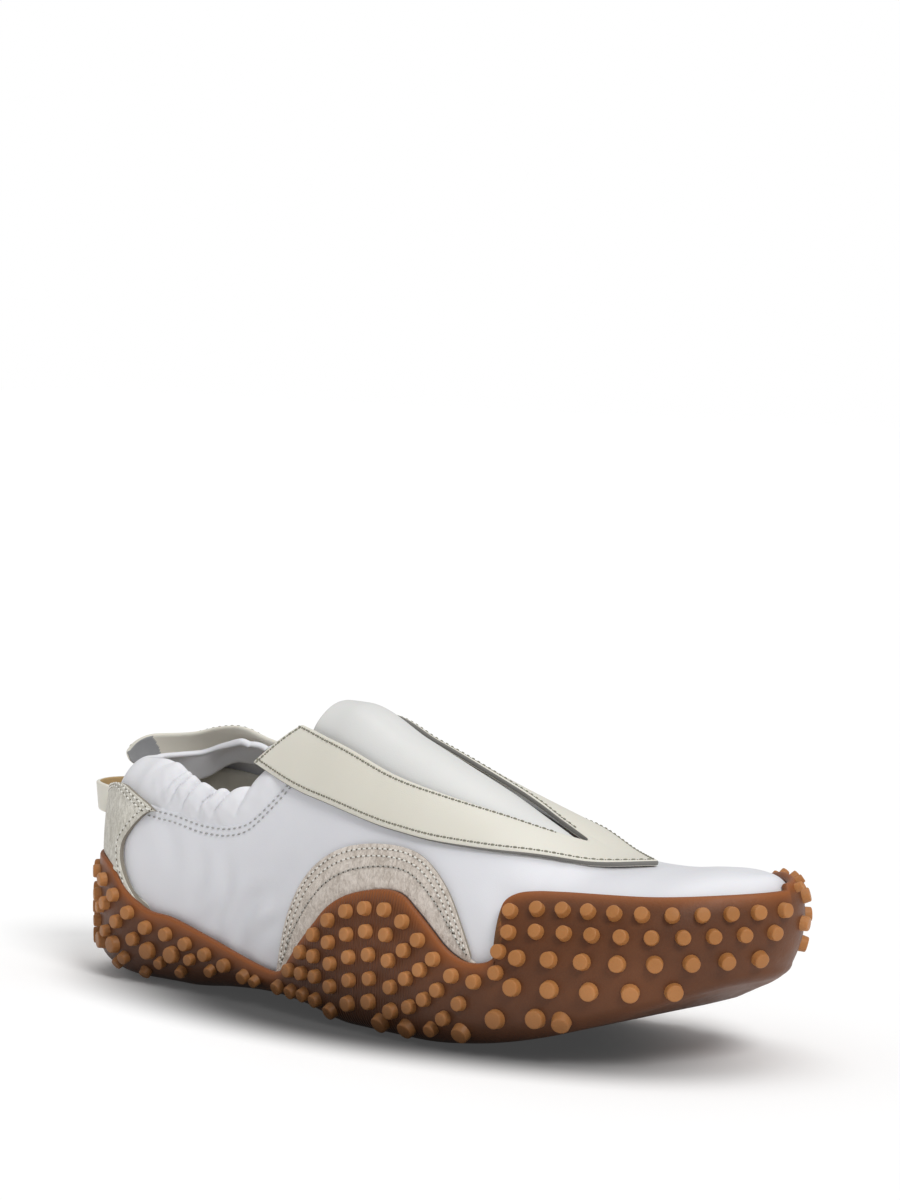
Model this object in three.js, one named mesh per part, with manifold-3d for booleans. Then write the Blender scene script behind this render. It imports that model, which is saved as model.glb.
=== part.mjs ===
// Slip-on sneaker for a right foot, with a studded gum sole that climbs the sides in waves.
// Lengths are millimetres. +X runs to the toe, +Z is up and the outer (lateral) side is -Y.
import * as THREE from "three";
import { mergeVertices } from "three/addons/utils/BufferGeometryUtils.js";
import Module from "manifold-3d";

const wasm = await Module();
wasm.setup();

// Driving sizes of the last
const lastLength = 270; // heel to toe along the feather line, where the upper meets the sole
const ballWidth = 86; // across the joints at the feather line
const instepHeight = 98; // floor to the crown line at the throat
const edgeTuck = 6; // how far the toe's wall draws in at the feather line
const heelRound = 30; // radius of the heel in plan
const toeRound = 34; // length over which the toe rounds off in plan
const heelCrown = 44; // how far the crown line starts ahead of the heel
const heelFan = 90; // length over which the heel's meridians fan out to the crown line
const toeCrown = 10; // how far the crown line ends behind the tip
const toeFan = 60;

// Driving sizes of the pieces
const fitGap = 0.3; // clearance between pieces that touch
const upperWall = 1.8;
const heelSeat = 12; // rubber under the heel
const toeSpring = 26; // lift of the sole's tip off the floor
const archRise = 4; // lift of the sole under the waist
const rubberWall = 2.6; // the cup's wall at its lip
const soleFlare = 4; // how much thicker the cup's wall is at the foot of the heel
const edgeRound = 9; // reach of the round under the sole's edge
const lipHeight = 56; // the cup's lip at the toe
const studWidth = 5.2;
const studTop = 4.4;
const studHeight = 2.4;
const insoleThickness = 4;
const collarHeight = 80; // floor to the rim at the heel
const collarWall = 1.8;
const pleatDepth = 1.1;
const pleatPitch = 7.5;
const yokeThickness = 1.6;
const tongueStep = 1.5; // rise of the tongue between the yoke's arms
const seamLap = 3.5; // how far the yoke laps over the edges under it
const counterThickness = 1.8;
const panelThickness = 1.3;
const strapThickness = 1.6;
const strapWidth = 11;
const loopWidth = 10;
const loopReach = 12; // how far the pull loop stands off the heel
const strapReach = 9; // how far the strap's free end stands off the heel

// Sections of the last. at: share of lastLength. lateral, medial: shares of half the ball width.
// crown: share of instepHeight. rubber: share of heelSeat. spring: share of toeSpring.
// arch: share of archRise. fullness: exponent of the section, 2 for an ellipse and more for a box.
// tuck: share of edgeTuck. flare: share of soleFlare. round: share of edgeRound.
const lastSections = [
  {
    at: 0, lateral: 0.7, medial: 0.7, crown: 0.83, rubber: 0.92, spring: 0, arch: 0,
    fullness: 4.2, tuck: 0.3, flare: 0.3, round: 1.8,
  },
  {
    at: 0.1, lateral: 0.72, medial: 0.71, crown: 0.851, rubber: 1, spring: 0, arch: 0,
    fullness: 3.8, tuck: 0.3, flare: 0.3, round: 1.8,
  },
  {
    at: 0.18, lateral: 0.73, medial: 0.69, crown: 0.876, rubber: 1, spring: 0, arch: 0,
    fullness: 3.2, tuck: 0.4, flare: 0.2, round: 1.7,
  },
  {
    at: 0.26, lateral: 0.74, medial: 0.64, crown: 0.922, rubber: 0.8, spring: 0, arch: 0.6,
    fullness: 2.6, tuck: 0.5, flare: 0.2, round: 1.3,
  },
  {
    at: 0.34, lateral: 0.76, medial: 0.6, crown: 1, rubber: 0.57, spring: 0, arch: 1,
    fullness: 2.25, tuck: 0.5, flare: 0.25, round: 0.9,
  },
  {
    at: 0.4, lateral: 0.8, medial: 0.61, crown: 1.011, rubber: 0.62, spring: 0, arch: 0.8,
    fullness: 2.1, tuck: 0.4, flare: 0.3, round: 0.8,
  },
  {
    at: 0.49, lateral: 0.89, medial: 0.69, crown: 0.918, rubber: 0.8, spring: 0, arch: 0,
    fullness: 2.1, tuck: 0.3, flare: 0.4, round: 0.9,
  },
  {
    at: 0.6, lateral: 0.97, medial: 0.83, crown: 0.799, rubber: 0.92, spring: 0, arch: 0,
    fullness: 2.2, tuck: 0.3, flare: 0.5, round: 1,
  },
  {
    at: 0.7, lateral: 1, medial: 0.94, crown: 0.696, rubber: 0.83, spring: 0.1, arch: 0,
    fullness: 2.35, tuck: 0.35, flare: 0.5, round: 1,
  },
  {
    at: 0.78, lateral: 0.96, medial: 1, crown: 0.612, rubber: 0.64, spring: 0.27, arch: 0,
    fullness: 2.5, tuck: 0.45, flare: 0.4, round: 1.1,
  },
  {
    at: 0.86, lateral: 0.85, medial: 0.99, crown: 0.606, rubber: 0.55, spring: 0.52, arch: 0,
    fullness: 2.6, tuck: 0.65, flare: 0.3, round: 1.2,
  },
  {
    at: 0.93, lateral: 0.7, medial: 0.94, crown: 0.622, rubber: 0.52, spring: 0.77, arch: 0,
    fullness: 2.7, tuck: 0.85, flare: 0.25, round: 1.2,
  },
  {
    at: 1, lateral: 0.48, medial: 0.85, crown: 0.612, rubber: 0.5, spring: 1, arch: 0,
    fullness: 2.8, tuck: 1, flare: 0.25, round: 1.2,
  },
];

// The collar. at: share of lastLength. seam, lateralRim, medialRim: shares of collarHeight.
const collarSections = [
  { at: -0.043, seam: 0.782, lateralRim: 0.942, medialRim: 0.942 },
  { at: 0.047, seam: 0.791, lateralRim: 0.963, medialRim: 0.968 },
  { at: 0.097, seam: 0.775, lateralRim: 0.975, medialRim: 0.995 },
  { at: 0.147, seam: 0.759, lateralRim: 0.966, medialRim: 0.976 },
  { at: 0.177, seam: 0.75, lateralRim: 0.92, medialRim: 0.945 },
  { at: 0.217, seam: 0.727, lateralRim: 0.868, medialRim: 0.919 },
  { at: 0.247, seam: 0.723, lateralRim: 0.861, medialRim: 0.913 },
  { at: 0.277, seam: 0.737, lateralRim: 0.892, medialRim: 0.937 },
  { at: 0.297, seam: 0.765, lateralRim: 0.949, medialRim: 0.969 },
  { at: 0.326, seam: 0.853, lateralRim: 1.033, medialRim: 1.033 },
  { at: 0.355, seam: 0.964, lateralRim: 1.077, medialRim: 1.077 },
  { at: 0.393, seam: 1.142, lateralRim: 1.172, medialRim: 1.172 },
];

// The cup's lip from the heel to the toe. at: share of lastLength. height: share of lipHeight.
const lateralLip = [
  { at: -0.06, height: 0.713 },
  { at: 0.03, height: 0.72 },
  { at: 0.074, height: 0.674 },
  { at: 0.104, height: 0.546 },
  { at: 0.142, height: 0.445 },
  { at: 0.182, height: 0.421 },
  { at: 0.233, height: 0.354 },
  { at: 0.296, height: 0.266 },
  { at: 0.339, height: 0.216 },
  { at: 0.364, height: 0.212 },
  { at: 0.381, height: 0.272 },
  { at: 0.405, height: 0.415 },
  { at: 0.431, height: 0.549 },
  { at: 0.456, height: 0.67 },
  { at: 0.491, height: 0.76 },
  { at: 0.539, height: 0.817 },
  { at: 0.573, height: 0.812 },
  { at: 0.6, height: 0.74 },
  { at: 0.629, height: 0.646 },
  { at: 0.654, height: 0.562 },
  { at: 0.679, height: 0.511 },
  { at: 0.702, height: 0.503 },
  { at: 0.722, height: 0.531 },
  { at: 0.733, height: 0.594 },
  { at: 0.735, height: 0.693 },
  { at: 0.725, height: 0.807 },
  { at: 0.725, height: 0.865 },
  { at: 0.735, height: 0.907 },
  { at: 0.753, height: 0.928 },
  { at: 0.786, height: 0.94 },
  { at: 0.878, height: 0.96 },
  { at: 0.948, height: 0.98 },
  { at: 1.038, height: 1.005 },
];
const medialLip = [
  { at: -0.06, height: 0.713 },
  { at: 0.03, height: 0.72 },
  { at: 0.08, height: 0.648 },
  { at: 0.121, height: 0.53 },
  { at: 0.172, height: 0.441 },
  { at: 0.243, height: 0.364 },
  { at: 0.333, height: 0.309 },
  { at: 0.433, height: 0.327 },
  { at: 0.502, height: 0.428 },
  { at: 0.556, height: 0.598 },
  { at: 0.605, height: 0.732 },
  { at: 0.65, height: 0.776 },
  { at: 0.7, height: 0.722 },
  { at: 0.751, height: 0.606 },
  { at: 0.791, height: 0.56 },
  { at: 0.831, height: 0.603 },
  { at: 0.856, height: 0.723 },
  { at: 0.873, height: 0.86 },
  { at: 0.899, height: 0.97 },
  { at: 0.948, height: 1.045 },
  { at: 0.985, height: 1.045 },
  { at: 1.01, height: 1.015 },
  { at: 1.038, height: 1.005 },
];

// Suede panels over the waves, from the rear foot over the top to the front foot.
const lateralPanel = [
  { at: 0.354, height: 0.143 },
  { at: 0.363, height: 0.368 },
  { at: 0.379, height: 0.621 },
  { at: 0.409, height: 0.849 },
  { at: 0.458, height: 1.01 },
  { at: 0.522, height: 1.075 },
  { at: 0.583, height: 1.05 },
  { at: 0.634, height: 0.898 },
  { at: 0.67, height: 0.69 },
  { at: 0.702, height: 0.428 },
];
const medialPanel = [
  { at: 0.474, height: 0.209 },
  { at: 0.491, height: 0.569 },
  { at: 0.529, height: 0.835 },
  { at: 0.588, height: 0.997 },
  { at: 0.648, height: 1.044 },
  { at: 0.708, height: 0.983 },
  { at: 0.759, height: 0.831 },
  { at: 0.791, height: 0.658 },
  { at: 0.812, height: 0.447 },
];

// Heel counter, from its foot in the waist over the wing to the middle of the heel.
const counterEdge = [
  { at: 0.153, height: 0.241 },
  { at: 0.14, height: 0.43 },
  { at: 0.111, height: 0.561 },
  { at: 0.092, height: 0.707 },
  { at: 0.091, height: 0.823 },
  { at: 0.103, height: 0.912 },
  { at: 0.131, height: 1.041 },
  { at: 0.151, height: 1.062 },
  { at: 0.147, height: 1.106 },
  { at: 0.13, height: 1.148 },
  { at: 0.088, height: 1.204 },
  { at: 0.056, height: 1.18 },
  { at: 0.017, height: 1.137 },
  { at: -0.063, height: 1.105 },
];

// Edges seen square to the lateral slope of the instep. up: share of instepHeight up that slope.
const slopeTilt = Math.PI / 4;
const yokeOuterEdge = [
  { at: 0.286, up: 0.403 },
  { at: 0.354, up: 0.342 },
  { at: 0.425, up: 0.298 },
  { at: 0.494, up: 0.26 },
  { at: 0.543, up: 0.241 },
  { at: 0.604, up: 0.23 },
  { at: 0.685, up: 0.246 },
  { at: 0.752, up: 0.295 },
  { at: 0.792, up: 0.337 },
  { at: 0.833, up: 0.423 },
];
const yokeRearEdge = [
  { at: 0.339, up: 0.623 },
  { at: 0.34, up: 0.552 },
  { at: 0.328, up: 0.511 },
  { at: 0.303, up: 0.464 },
];
const throatLateral = [
  { at: 0.242, up: 0.596 },
  { at: 0.338, up: 0.548 },
  { at: 0.428, up: 0.483 },
  { at: 0.511, up: 0.423 },
  { at: 0.585, up: 0.399 },
  { at: 0.652, up: 0.393 },
  { at: 0.706, up: 0.395 },
  { at: 0.752, up: 0.432 },
];
// Edges seen from above. out: share of half the ball width.
const throatMedial = [
  { at: 0.757, out: -0.07 },
  { at: 0.698, out: -0.035 },
  { at: 0.628, out: 0.04 },
  { at: 0.55, out: 0.06 },
  { at: 0.467, out: 0.09 },
  { at: 0.399, out: 0.14 },
  { at: 0.337, out: 0.21 },
  { at: 0.242, out: 0.28 },
];
const tongueRear = [
  { at: 0.347, out: 0.5 },
  { at: 0.355, out: 0.25 },
  { at: 0.36, out: 0 },
  { at: 0.356, out: -0.2 },
  { at: 0.343, out: -0.5 },
];
const yokeMedialEdge = [
  { at: 0.843, out: -0.1 },
  { at: 0.793, out: 0.2 },
  { at: 0.74, out: 0.34 },
  { at: 0.685, out: 0.42 },
  { at: 0.61, out: 0.46 },
  { at: 0.52, out: 0.45 },
  { at: 0.437, out: 0.43 },
  { at: 0.36, out: 0.42 },
  { at: 0.289, out: 0.43 },
];
const yokeRearCorner = { at: 0.345, out: 0.2 };
const yokeRearLimit = 0.25; // share of lastLength behind which the lateral arm never reaches

// The strap round the medial collar, from its free end behind the heel to the yoke. at: share of
// lastLength. top: share of collarHeight.
const strapSections = [
  { at: 0, top: 1.0 },
  { at: 0.05, top: 1.03 },
  { at: 0.1, top: 1.02 },
  { at: 0.14, top: 0.985 },
  { at: 0.178, top: 0.965 },
  { at: 0.22, top: 0.95 },
  { at: 0.25, top: 0.96 },
  { at: 0.278, top: 0.995 },
  { at: 0.304, top: 1.05 },
  { at: 0.326, top: 1.1 },
];

// Rows of studs. side: -1 lateral, 1 medial. from, to: shares of lastLength. drop: how far the row
// lies below the lip. most: its greatest height over the underside. pitch: between studs. big: width
// factor.
const studRows = [
  { side: -1, from: 0, to: 0.36, drop: 5, most: 60, pitch: 8.9, big: 1 },
  { side: -1, from: 0, to: 0.14, drop: 12.5, most: 60, pitch: 9.3, big: 1 },
  { side: -1, from: 0, to: 0.12, drop: 7, most: 22, pitch: 9, big: 1 },
  { side: -1, from: 0.03, to: 0.27, drop: 7, most: 12, pitch: 9.8, big: 1.25 },
  { side: -1, from: 0.36, to: 0.72, drop: 5, most: 60, pitch: 8.7, big: 1 },
  { side: -1, from: 0.38, to: 0.7, drop: 12.5, most: 60, pitch: 9.1, big: 1 },
  { side: -1, from: 0.4, to: 0.68, drop: 20, most: 60, pitch: 9.3, big: 1 },
  { side: -1, from: 0.42, to: 0.68, drop: 27.5, most: 60, pitch: 9.8, big: 1 },
  { side: -1, from: 0.44, to: 0.66, drop: 35, most: 60, pitch: 10.2, big: 1.1 },
  { side: -1, from: 0.735, to: 1, drop: 5, most: 60, pitch: 8.7, big: 1 },
  { side: -1, from: 0.735, to: 1, drop: 11.5, most: 60, pitch: 9.3, big: 1 },
  { side: -1, from: 0.745, to: 1, drop: 19.5, most: 60, pitch: 11, big: 1.1 },
  { side: -1, from: 0.75, to: 0.99, drop: 28.5, most: 60, pitch: 12.7, big: 1.2 },
  { side: -1, from: 0.72, to: 0.97, drop: 38, most: 60, pitch: 13.8, big: 1.3 },
  { side: -1, from: 0.4, to: 0.84, drop: 5, most: 4.6, pitch: 10.4, big: 1.3 },
  { side: 1, from: 0.02, to: 0.42, drop: 5, most: 60, pitch: 12.1, big: 1 },
  { side: 1, from: 0.03, to: 0.27, drop: 7, most: 12, pitch: 13.2, big: 1.25 },
  { side: 1, from: 0.48, to: 0.8, drop: 5, most: 60, pitch: 11.9, big: 1 },
  { side: 1, from: 0.5, to: 0.78, drop: 12.5, most: 60, pitch: 12.4, big: 1 },
  { side: 1, from: 0.53, to: 0.76, drop: 20.5, most: 60, pitch: 12.8, big: 1 },
  { side: 1, from: 0.87, to: 1, drop: 5, most: 60, pitch: 10.9, big: 1 },
  { side: 1, from: 0.87, to: 1, drop: 12.5, most: 60, pitch: 12.1, big: 1 },
  { side: 1, from: 0.86, to: 0.99, drop: 21.5, most: 60, pitch: 14, big: 1.1 },
  { side: 1, from: 0.5, to: 0.84, drop: 5, most: 7, pitch: 14, big: 1.2 },
];

// A smooth curve through one column of a table of rows, with no overshoot, read at a share.
function column(rows, name) {
  const chord = (i) => (rows[i + 1][name] - rows[i][name]) / (rows[i + 1].at - rows[i].at);
  const slope = (i) => {
    if (i === 0 || i === rows.length - 1) return 0;
    return chord(i - 1) * chord(i) <= 0 ? 0 : (chord(i - 1) + chord(i)) / 2;
  };
  return (at) => {
    const place = Math.min(Math.max(at, rows[0].at), rows.at(-1).at);
    const next = Math.max(1, rows.findIndex((row) => row.at >= place));
    const [low, high] = [rows[next - 1], rows[next]];
    const run = high.at - low.at;
    const t = (place - low.at) / run;
    const [m0, m1] = [slope(next - 1) * run, slope(next) * run];
    return (2 * t ** 3 - 3 * t ** 2 + 1) * low[name] + (t ** 3 - 2 * t ** 2 + t) * m0
      + (3 * t ** 2 - 2 * t ** 3) * high[name] + (t ** 3 - t ** 2) * m1;
  };
}
const lateralShare = column(lastSections, "lateral");
const medialShare = column(lastSections, "medial");
const crownShare = column(lastSections, "crown");
const rubberShare = column(lastSections, "rubber");
const springShare = column(lastSections, "spring");
const archShare = column(lastSections, "arch");
const fullnessAt = column(lastSections, "fullness");
const tuckShare = column(lastSections, "tuck");
const flareShare = column(lastSections, "flare");
const roundShare = column(lastSections, "round");

const share = (x) => x / lastLength;
const halfWidth = (x) => (ballWidth / 4) * (lateralShare(share(x)) + medialShare(share(x)));
const middle = (x) => (ballWidth / 4) * (medialShare(share(x)) - lateralShare(share(x)));
const crownHeight = (x) => instepHeight * crownShare(share(x));
const underside = (x) => toeSpring * springShare(share(x)) + archRise * archShare(share(x));
const featherHeight = (x) => underside(x) + heelSeat * rubberShare(share(x));

// Place round the last: 0 at the heel, 1 at the toe along the lateral side, 2 back at the heel.
const heelArc = (Math.PI / 2) * heelRound;
const toeArc = (Math.PI / 2) * toeRound;
const sideRun = heelArc + (lastLength - heelRound - toeRound) + toeArc;

// x, and the share of the full half width that is left where the heel or the toe rounds off.
function station(around) {
  const back = around > 1 ? 2 - around : Math.abs(around);
  const run = back * sideRun;
  if (run < heelArc) {
    const angle = run / heelRound;
    return { x: heelRound * (1 - Math.cos(angle)), cap: Math.sin(angle) };
  }
  if (run > sideRun - toeArc) {
    const angle = (sideRun - run) / toeRound;
    return { x: lastLength - toeRound * (1 - Math.cos(angle)), cap: Math.sin(angle) };
  }
  return { x: heelRound + run - heelArc, cap: 1 };
}

// Place round the last of the meridian that starts at x on one side.
function aroundAt(x, side) {
  const clear = Math.min(Math.max(x, 0), lastLength);
  let run = clear - heelRound + heelArc;
  if (clear < heelRound) run = heelRound * Math.acos(1 - clear / heelRound);
  const fromToe = lastLength - clear;
  if (fromToe < toeRound) run = sideRun - toeRound * Math.acos(1 - fromToe / toeRound);
  return side < 0 ? run / sideRun : 2 - run / sideRun;
}

// x of the crown line, or of the line under the sole, that a meridian starting at x runs to.
function spineX(x) {
  const heel = Math.max(0, 1 - x / heelFan);
  const toe = Math.max(0, (x - lastLength + toeFan) / toeFan);
  return x + heelCrown * heel ** 2 - toeCrown * toe ** 2;
}

const sideOf = (around) => (around > 1 || around < 0 ? 1 : -1);

// The last itself: rise runs from 0 at the feather line to 1 at the crown line.
function lastPoint(around, rise) {
  const { x, cap } = station(around);
  const crownX = spineX(x);
  const angle = (rise * Math.PI) / 2;
  const power = fullnessAt(share(x));
  const reach = (Math.cos(angle) ** power + Math.sin(angle) ** power) ** (-1 / power);
  const out = rise >= 1 ? 0 : reach * Math.cos(angle);
  const lift = rise >= 1 ? 1 : reach * Math.sin(angle);
  const edgeY = middle(x) + sideOf(around) * halfWidth(x) * cap;
  const foot = featherHeight(x);
  return new THREE.Vector3(
    crownX + (x - crownX) * out,
    middle(crownX) + (edgeY - middle(crownX)) * out,
    foot + (crownHeight(crownX) - foot) * lift,
  );
}

// Outward unit normal of the last, level across the crown line so that both sides agree there.
function lastNormal(around, rise) {
  const step = 0.002;
  const ceiling = 0.96;
  const r = Math.min(Math.max(rise, step), ceiling);
  const along = lastPoint(around + step, r).sub(lastPoint(around - step, r));
  const up = lastPoint(around, r + step).sub(lastPoint(around, r - step));
  const normal = along.cross(up).normalize();
  if (rise < ceiling) return normal;
  const level = (rise - ceiling) / (1 - ceiling);
  return normal.lerp(new THREE.Vector3(0, 0, 1), Math.min(1, level)).normalize();
}

// A point off the last, drawn in towards the feather line.
const tuckEnd = 0.55; // rise at which the wall stops drawing in
function offLast(around, rise, off) {
  const low = Math.max(0, 1 - rise / tuckEnd);
  const tuck = edgeTuck * tuckShare(share(station(around).x)) * low ** 2;
  return lastPoint(around, rise).addScaledVector(lastNormal(around, rise), off - tuck);
}

// The cup's outer skin. Below a rise of 0 it rounds under the edge, and at -1 it is flat.
function soleSkin(around, rise) {
  const flare = soleFlare * flareShare(share(station(around).x));
  const low = Math.max(0, 1 - Math.max(0, rise) / tuckEnd);
  const skin = offLast(around, Math.max(0, rise), fitGap + rubberWall + flare * low);
  if (rise >= 0) return skin;
  const inwards = lastNormal(around, 0).setZ(0).normalize();
  const angle = (-rise * Math.PI) / 2;
  const bottom = underside(station(around).x);
  skin.addScaledVector(inwards, -edgeRound * roundShare(share(station(around).x)) * (1 - Math.cos(angle)));
  skin.z += (bottom - skin.z) * Math.sin(angle);
  return skin;
}

// The rise at which a surface round the last crosses a line of heights over x.
function riseWhere(around, surface, line) {
  let [low, high] = [-1, 0.99];
  for (let i = 0; i < 24; i++) {
    const rise = (low + high) / 2;
    const point = surface(around, rise);
    if (point.z < line(point.x)) low = rise;
    else high = rise;
  }
  return low;
}

// One grid serves every layer, so that the facets of neighbouring pieces stay parallel.
const heelCells = 6;
const sideCells = 10;
const toeCells = 6;
const riseCells = 8;
const even = (count, from, to) =>
  Array.from({ length: count }, (_, i) => from + ((to - from) * i) / count);
const halfGrid = [
  ...even(heelCells, 0, heelArc / sideRun),
  ...even(sideCells, heelArc / sideRun, 1 - toeArc / sideRun),
  ...even(toeCells, 1 - toeArc / sideRun, 1),
];
const aroundGrid = [...halfGrid, 1, ...halfGrid.slice(1).reverse().map((around) => 2 - around)];
const riseGrid = [...even(riseCells, 0, 1), 1];

// A solid from closed profiles. Round the last, the profiles of the two sides that meet on the
// middle line share their points there, and the faces between them cancel out.
function solidFromProfiles(profiles, { ring = true } = {}) {
  const corners = [];
  const count = profiles[0].length;
  const quad = (a, b, c, d) => {
    if (a.distanceTo(c) <= b.distanceTo(d)) corners.push(a, b, c, a, c, d);
    else corners.push(a, b, d, b, c, d);
  };
  const last = ring ? profiles.length : profiles.length - 1;
  for (let i = 0; i < last; i++) {
    const [profile, next] = [profiles[i], profiles[(i + 1) % profiles.length]];
    for (let j = 0; j < count; j++) {
      const k = (j + 1) % count;
      quad(profile[j], next[j], next[k], profile[k]);
    }
  }
  if (!ring) {
    const [start, end] = [profiles[0], profiles.at(-1)];
    for (let j = 0; j < count / 2 - 1; j++) {
      const [p, q] = [count - 1 - j, count - 2 - j];
      quad(start[j], start[j + 1], start[q], start[p]);
      quad(end[p], end[q], end[j + 1], end[j]);
    }
  }
  return solidOf(new THREE.BufferGeometry().setFromPoints(corners));
}

// A manifold-3d solid of a closed geometry.
function solidOf(geometry) {
  const bare = new THREE.BufferGeometry();
  bare.setAttribute("position", geometry.getAttribute("position"));
  if (geometry.index) bare.setIndex(geometry.index);
  const merged = mergeVertices(bare, 1e-3);
  const index = merged.index.array;
  const faces = new Map();
  for (let i = 0; i < index.length; i += 3) {
    const face = [index[i], index[i + 1], index[i + 2]];
    if (new Set(face).size < 3) continue;
    const key = [...face].sort((a, b) => a - b).join();
    if (faces.has(key)) faces.delete(key);
    else faces.set(key, face);
  }
  return new wasm.Manifold(new wasm.Mesh({
    numProp: 3,
    vertProperties: merged.attributes.position.array,
    triVerts: new Uint32Array([...faces.values()].flat()),
  }));
}

// The closed layer between two offsets of the last.
function layer(inner, outer) {
  return solidFromProfiles(aroundGrid.map((around) => [
    ...riseGrid.map((rise) => offLast(around, rise, outer)),
    ...[...riseGrid].reverse().map((rise) => offLast(around, rise, inner)),
  ]));
}

// An outline moved outwards by a distance.
function grown(outline, distance) {
  const points = THREE.ShapeUtils.isClockWise(outline) ? [...outline].reverse() : outline;
  return points.map((point, i) => {
    const before = points[(i + points.length - 1) % points.length];
    const after = points[(i + 1) % points.length];
    const along = after.clone().sub(before).normalize();
    return new THREE.Vector2(point.x + along.y * distance, point.y - along.x * distance);
  });
}

function prism(points, depth) {
  const outline = THREE.ShapeUtils.isClockWise(points) ? [...points].reverse() : points;
  return new THREE.ExtrudeGeometry(new THREE.Shape(outline), { depth, bevelEnabled: false });
}

const farOut = 150; // beyond the shoe on every side
const smooth = (points, steps) => new THREE.SplineCurve(points).getPoints(steps);
const sidePoint = (row) => new THREE.Vector2(lastLength * row.at, lipHeight * row.height);
const slopePoint = (row) => new THREE.Vector2(lastLength * row.at, instepHeight * row.up);
const planPoint = (row) => new THREE.Vector2(lastLength * row.at, (ballWidth / 2) * row.out);

// A prism across one side of the shoe, on an outline in x and z.
function acrossSide(points, side) {
  const turned = prism(points, farOut).rotateX(Math.PI / 2);
  if (side > 0) turned.translate(0, farOut, 0);
  return solidOf(turned);
}

// A prism square to the instep's lateral slope, on an outline in x and the way up that slope.
function acrossSlope(points) {
  const turned = prism(points, 2 * farOut).translate(0, 0, -farOut).rotateX(slopeTilt);
  return solidOf(turned);
}

// A prism straight up, on an outline in x and y.
function upright(points, low, high) {
  return solidOf(prism(points, high - low).translate(0, 0, low));
}

function meshOf(solid, name, material) {
  const made = solid.getMesh();
  const geometry = new THREE.BufferGeometry();
  geometry.setAttribute("position", new THREE.BufferAttribute(made.vertProperties, 3));
  geometry.setIndex(new THREE.BufferAttribute(made.triVerts, 1));
  const mesh = new THREE.Mesh(geometry, material);
  mesh.name = name;
  return mesh;
}

// All that lies above the cup's lip on one side, kept off it by a gap.
function aboveLip(side, gap) {
  const rows = side < 0 ? lateralLip : medialLip;
  const lip = smooth(rows.map(sidePoint), rows.length);
  const ends = [new THREE.Vector2(lip.at(-1).x, farOut), new THREE.Vector2(lip[0].x, farOut)];
  return acrossSide(grown([...lip, ...ends], -gap), side);
}

// Height of the lip over x on one side, where the lip is a plain function of x.
function lipOver(x, side) {
  const rows = side < 0 ? lateralLip : medialLip;
  const next = Math.max(1, rows.findIndex((row) => row.at >= share(x)));
  const [low, high] = [rows[next - 1], rows[next]];
  const t = (share(x) - low.at) / (high.at - low.at);
  return lipHeight * (low.height + (high.height - low.height) * Math.min(1, Math.max(0, t)));
}

// The studded rubber cup
const undersideRises = [-1, -0.75, -0.5, -0.25];
const wallRises = riseGrid.filter((rise) => rise < 0.85);

function cup() {
  return solidFromProfiles(aroundGrid.map((around) => {
    const spine = spineX(station(around).x);
    const floor = (rise) => {
      const point = offLast(around, rise, fitGap);
      if (rise === 0) point.z -= fitGap;
      return point;
    };
    return [
      new THREE.Vector3(spine, middle(spine), underside(spine)),
      ...undersideRises.map((rise) => soleSkin(around, rise)),
      ...wallRises.map((rise) => soleSkin(around, rise)),
      ...[...wallRises].reverse().map(floor),
      new THREE.Vector3(spine, middle(spine), featherHeight(spine) - fitGap),
    ];
  }));
}

// One stud square to the cup's skin.
const studSides = 4;
const studCorner = 1.2; // corner radius of a stud over that of a round one of its area
const studRoot = 1.4; // how deep a stud is rooted in the wall
function stud(around, rise, big) {
  const step = 0.004;
  const base = soleSkin(around, rise);
  const along = soleSkin(around + step, rise).sub(soleSkin(around - step, rise));
  const up = soleSkin(around, rise + step).sub(soleSkin(around, rise - step));
  const out = along.cross(up).normalize();
  const length = studHeight + studRoot;
  const scale = (big * studCorner) / 2;
  const body = new THREE.CylinderGeometry(scale * studTop, scale * studWidth, length, studSides);
  body.translate(0, length / 2 - studRoot, 0);
  body.applyQuaternion(new THREE.Quaternion().setFromUnitVectors(new THREE.Vector3(0, 1, 0), out));
  body.translate(base.x, base.y, base.z);
  return solidOf(body);
}

// Studs stand along their rows, and a later row leaves out those that would touch an earlier one.
const studScan = 0.4; // step along a row
const studFoot = 4.2; // least height over the underside
const studSpace = 1.2; // least space between two studs
function studs() {
  const placed = [];
  for (const row of studRows) {
    let previous = null;
    const radius = (row.big * studWidth) / 2;
    for (let x = row.from * lastLength; x <= row.to * lastLength; x += studScan) {
      const height = Math.min(underside(x) + row.most, lipOver(x, row.side) - row.drop);
      if (height < underside(x) + studFoot) continue;
      const around = aroundAt(x, row.side);
      const rise = riseWhere(around, soleSkin, () => height);
      const place = soleSkin(around, rise);
      if (previous && place.distanceTo(previous) < row.pitch) continue;
      if (placed.some((one) => one.place.distanceTo(place) < one.radius + radius + studSpace)) continue;
      previous = place;
      placed.push({ place, radius, solid: stud(around, rise, row.big) });
    }
  }
  return placed.map((one) => one.solid);
}

const gumRubber = new THREE.MeshStandardMaterial({ color: 0x95603c, roughness: 0.55, metalness: 0 });
const whiteLeather = new THREE.MeshStandardMaterial({ color: 0xe2e2e6, roughness: 0.5, metalness: 0 });
const creamLeather = new THREE.MeshStandardMaterial({ color: 0xdfdccd, roughness: 0.5, metalness: 0 });
const paleSuede = new THREE.MeshStandardMaterial({ color: 0xcbc6ba, roughness: 0.95, metalness: 0 });
const greyLining = new THREE.MeshStandardMaterial({ color: 0xc4c2bc, roughness: 0.9, metalness: 0 });

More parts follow.
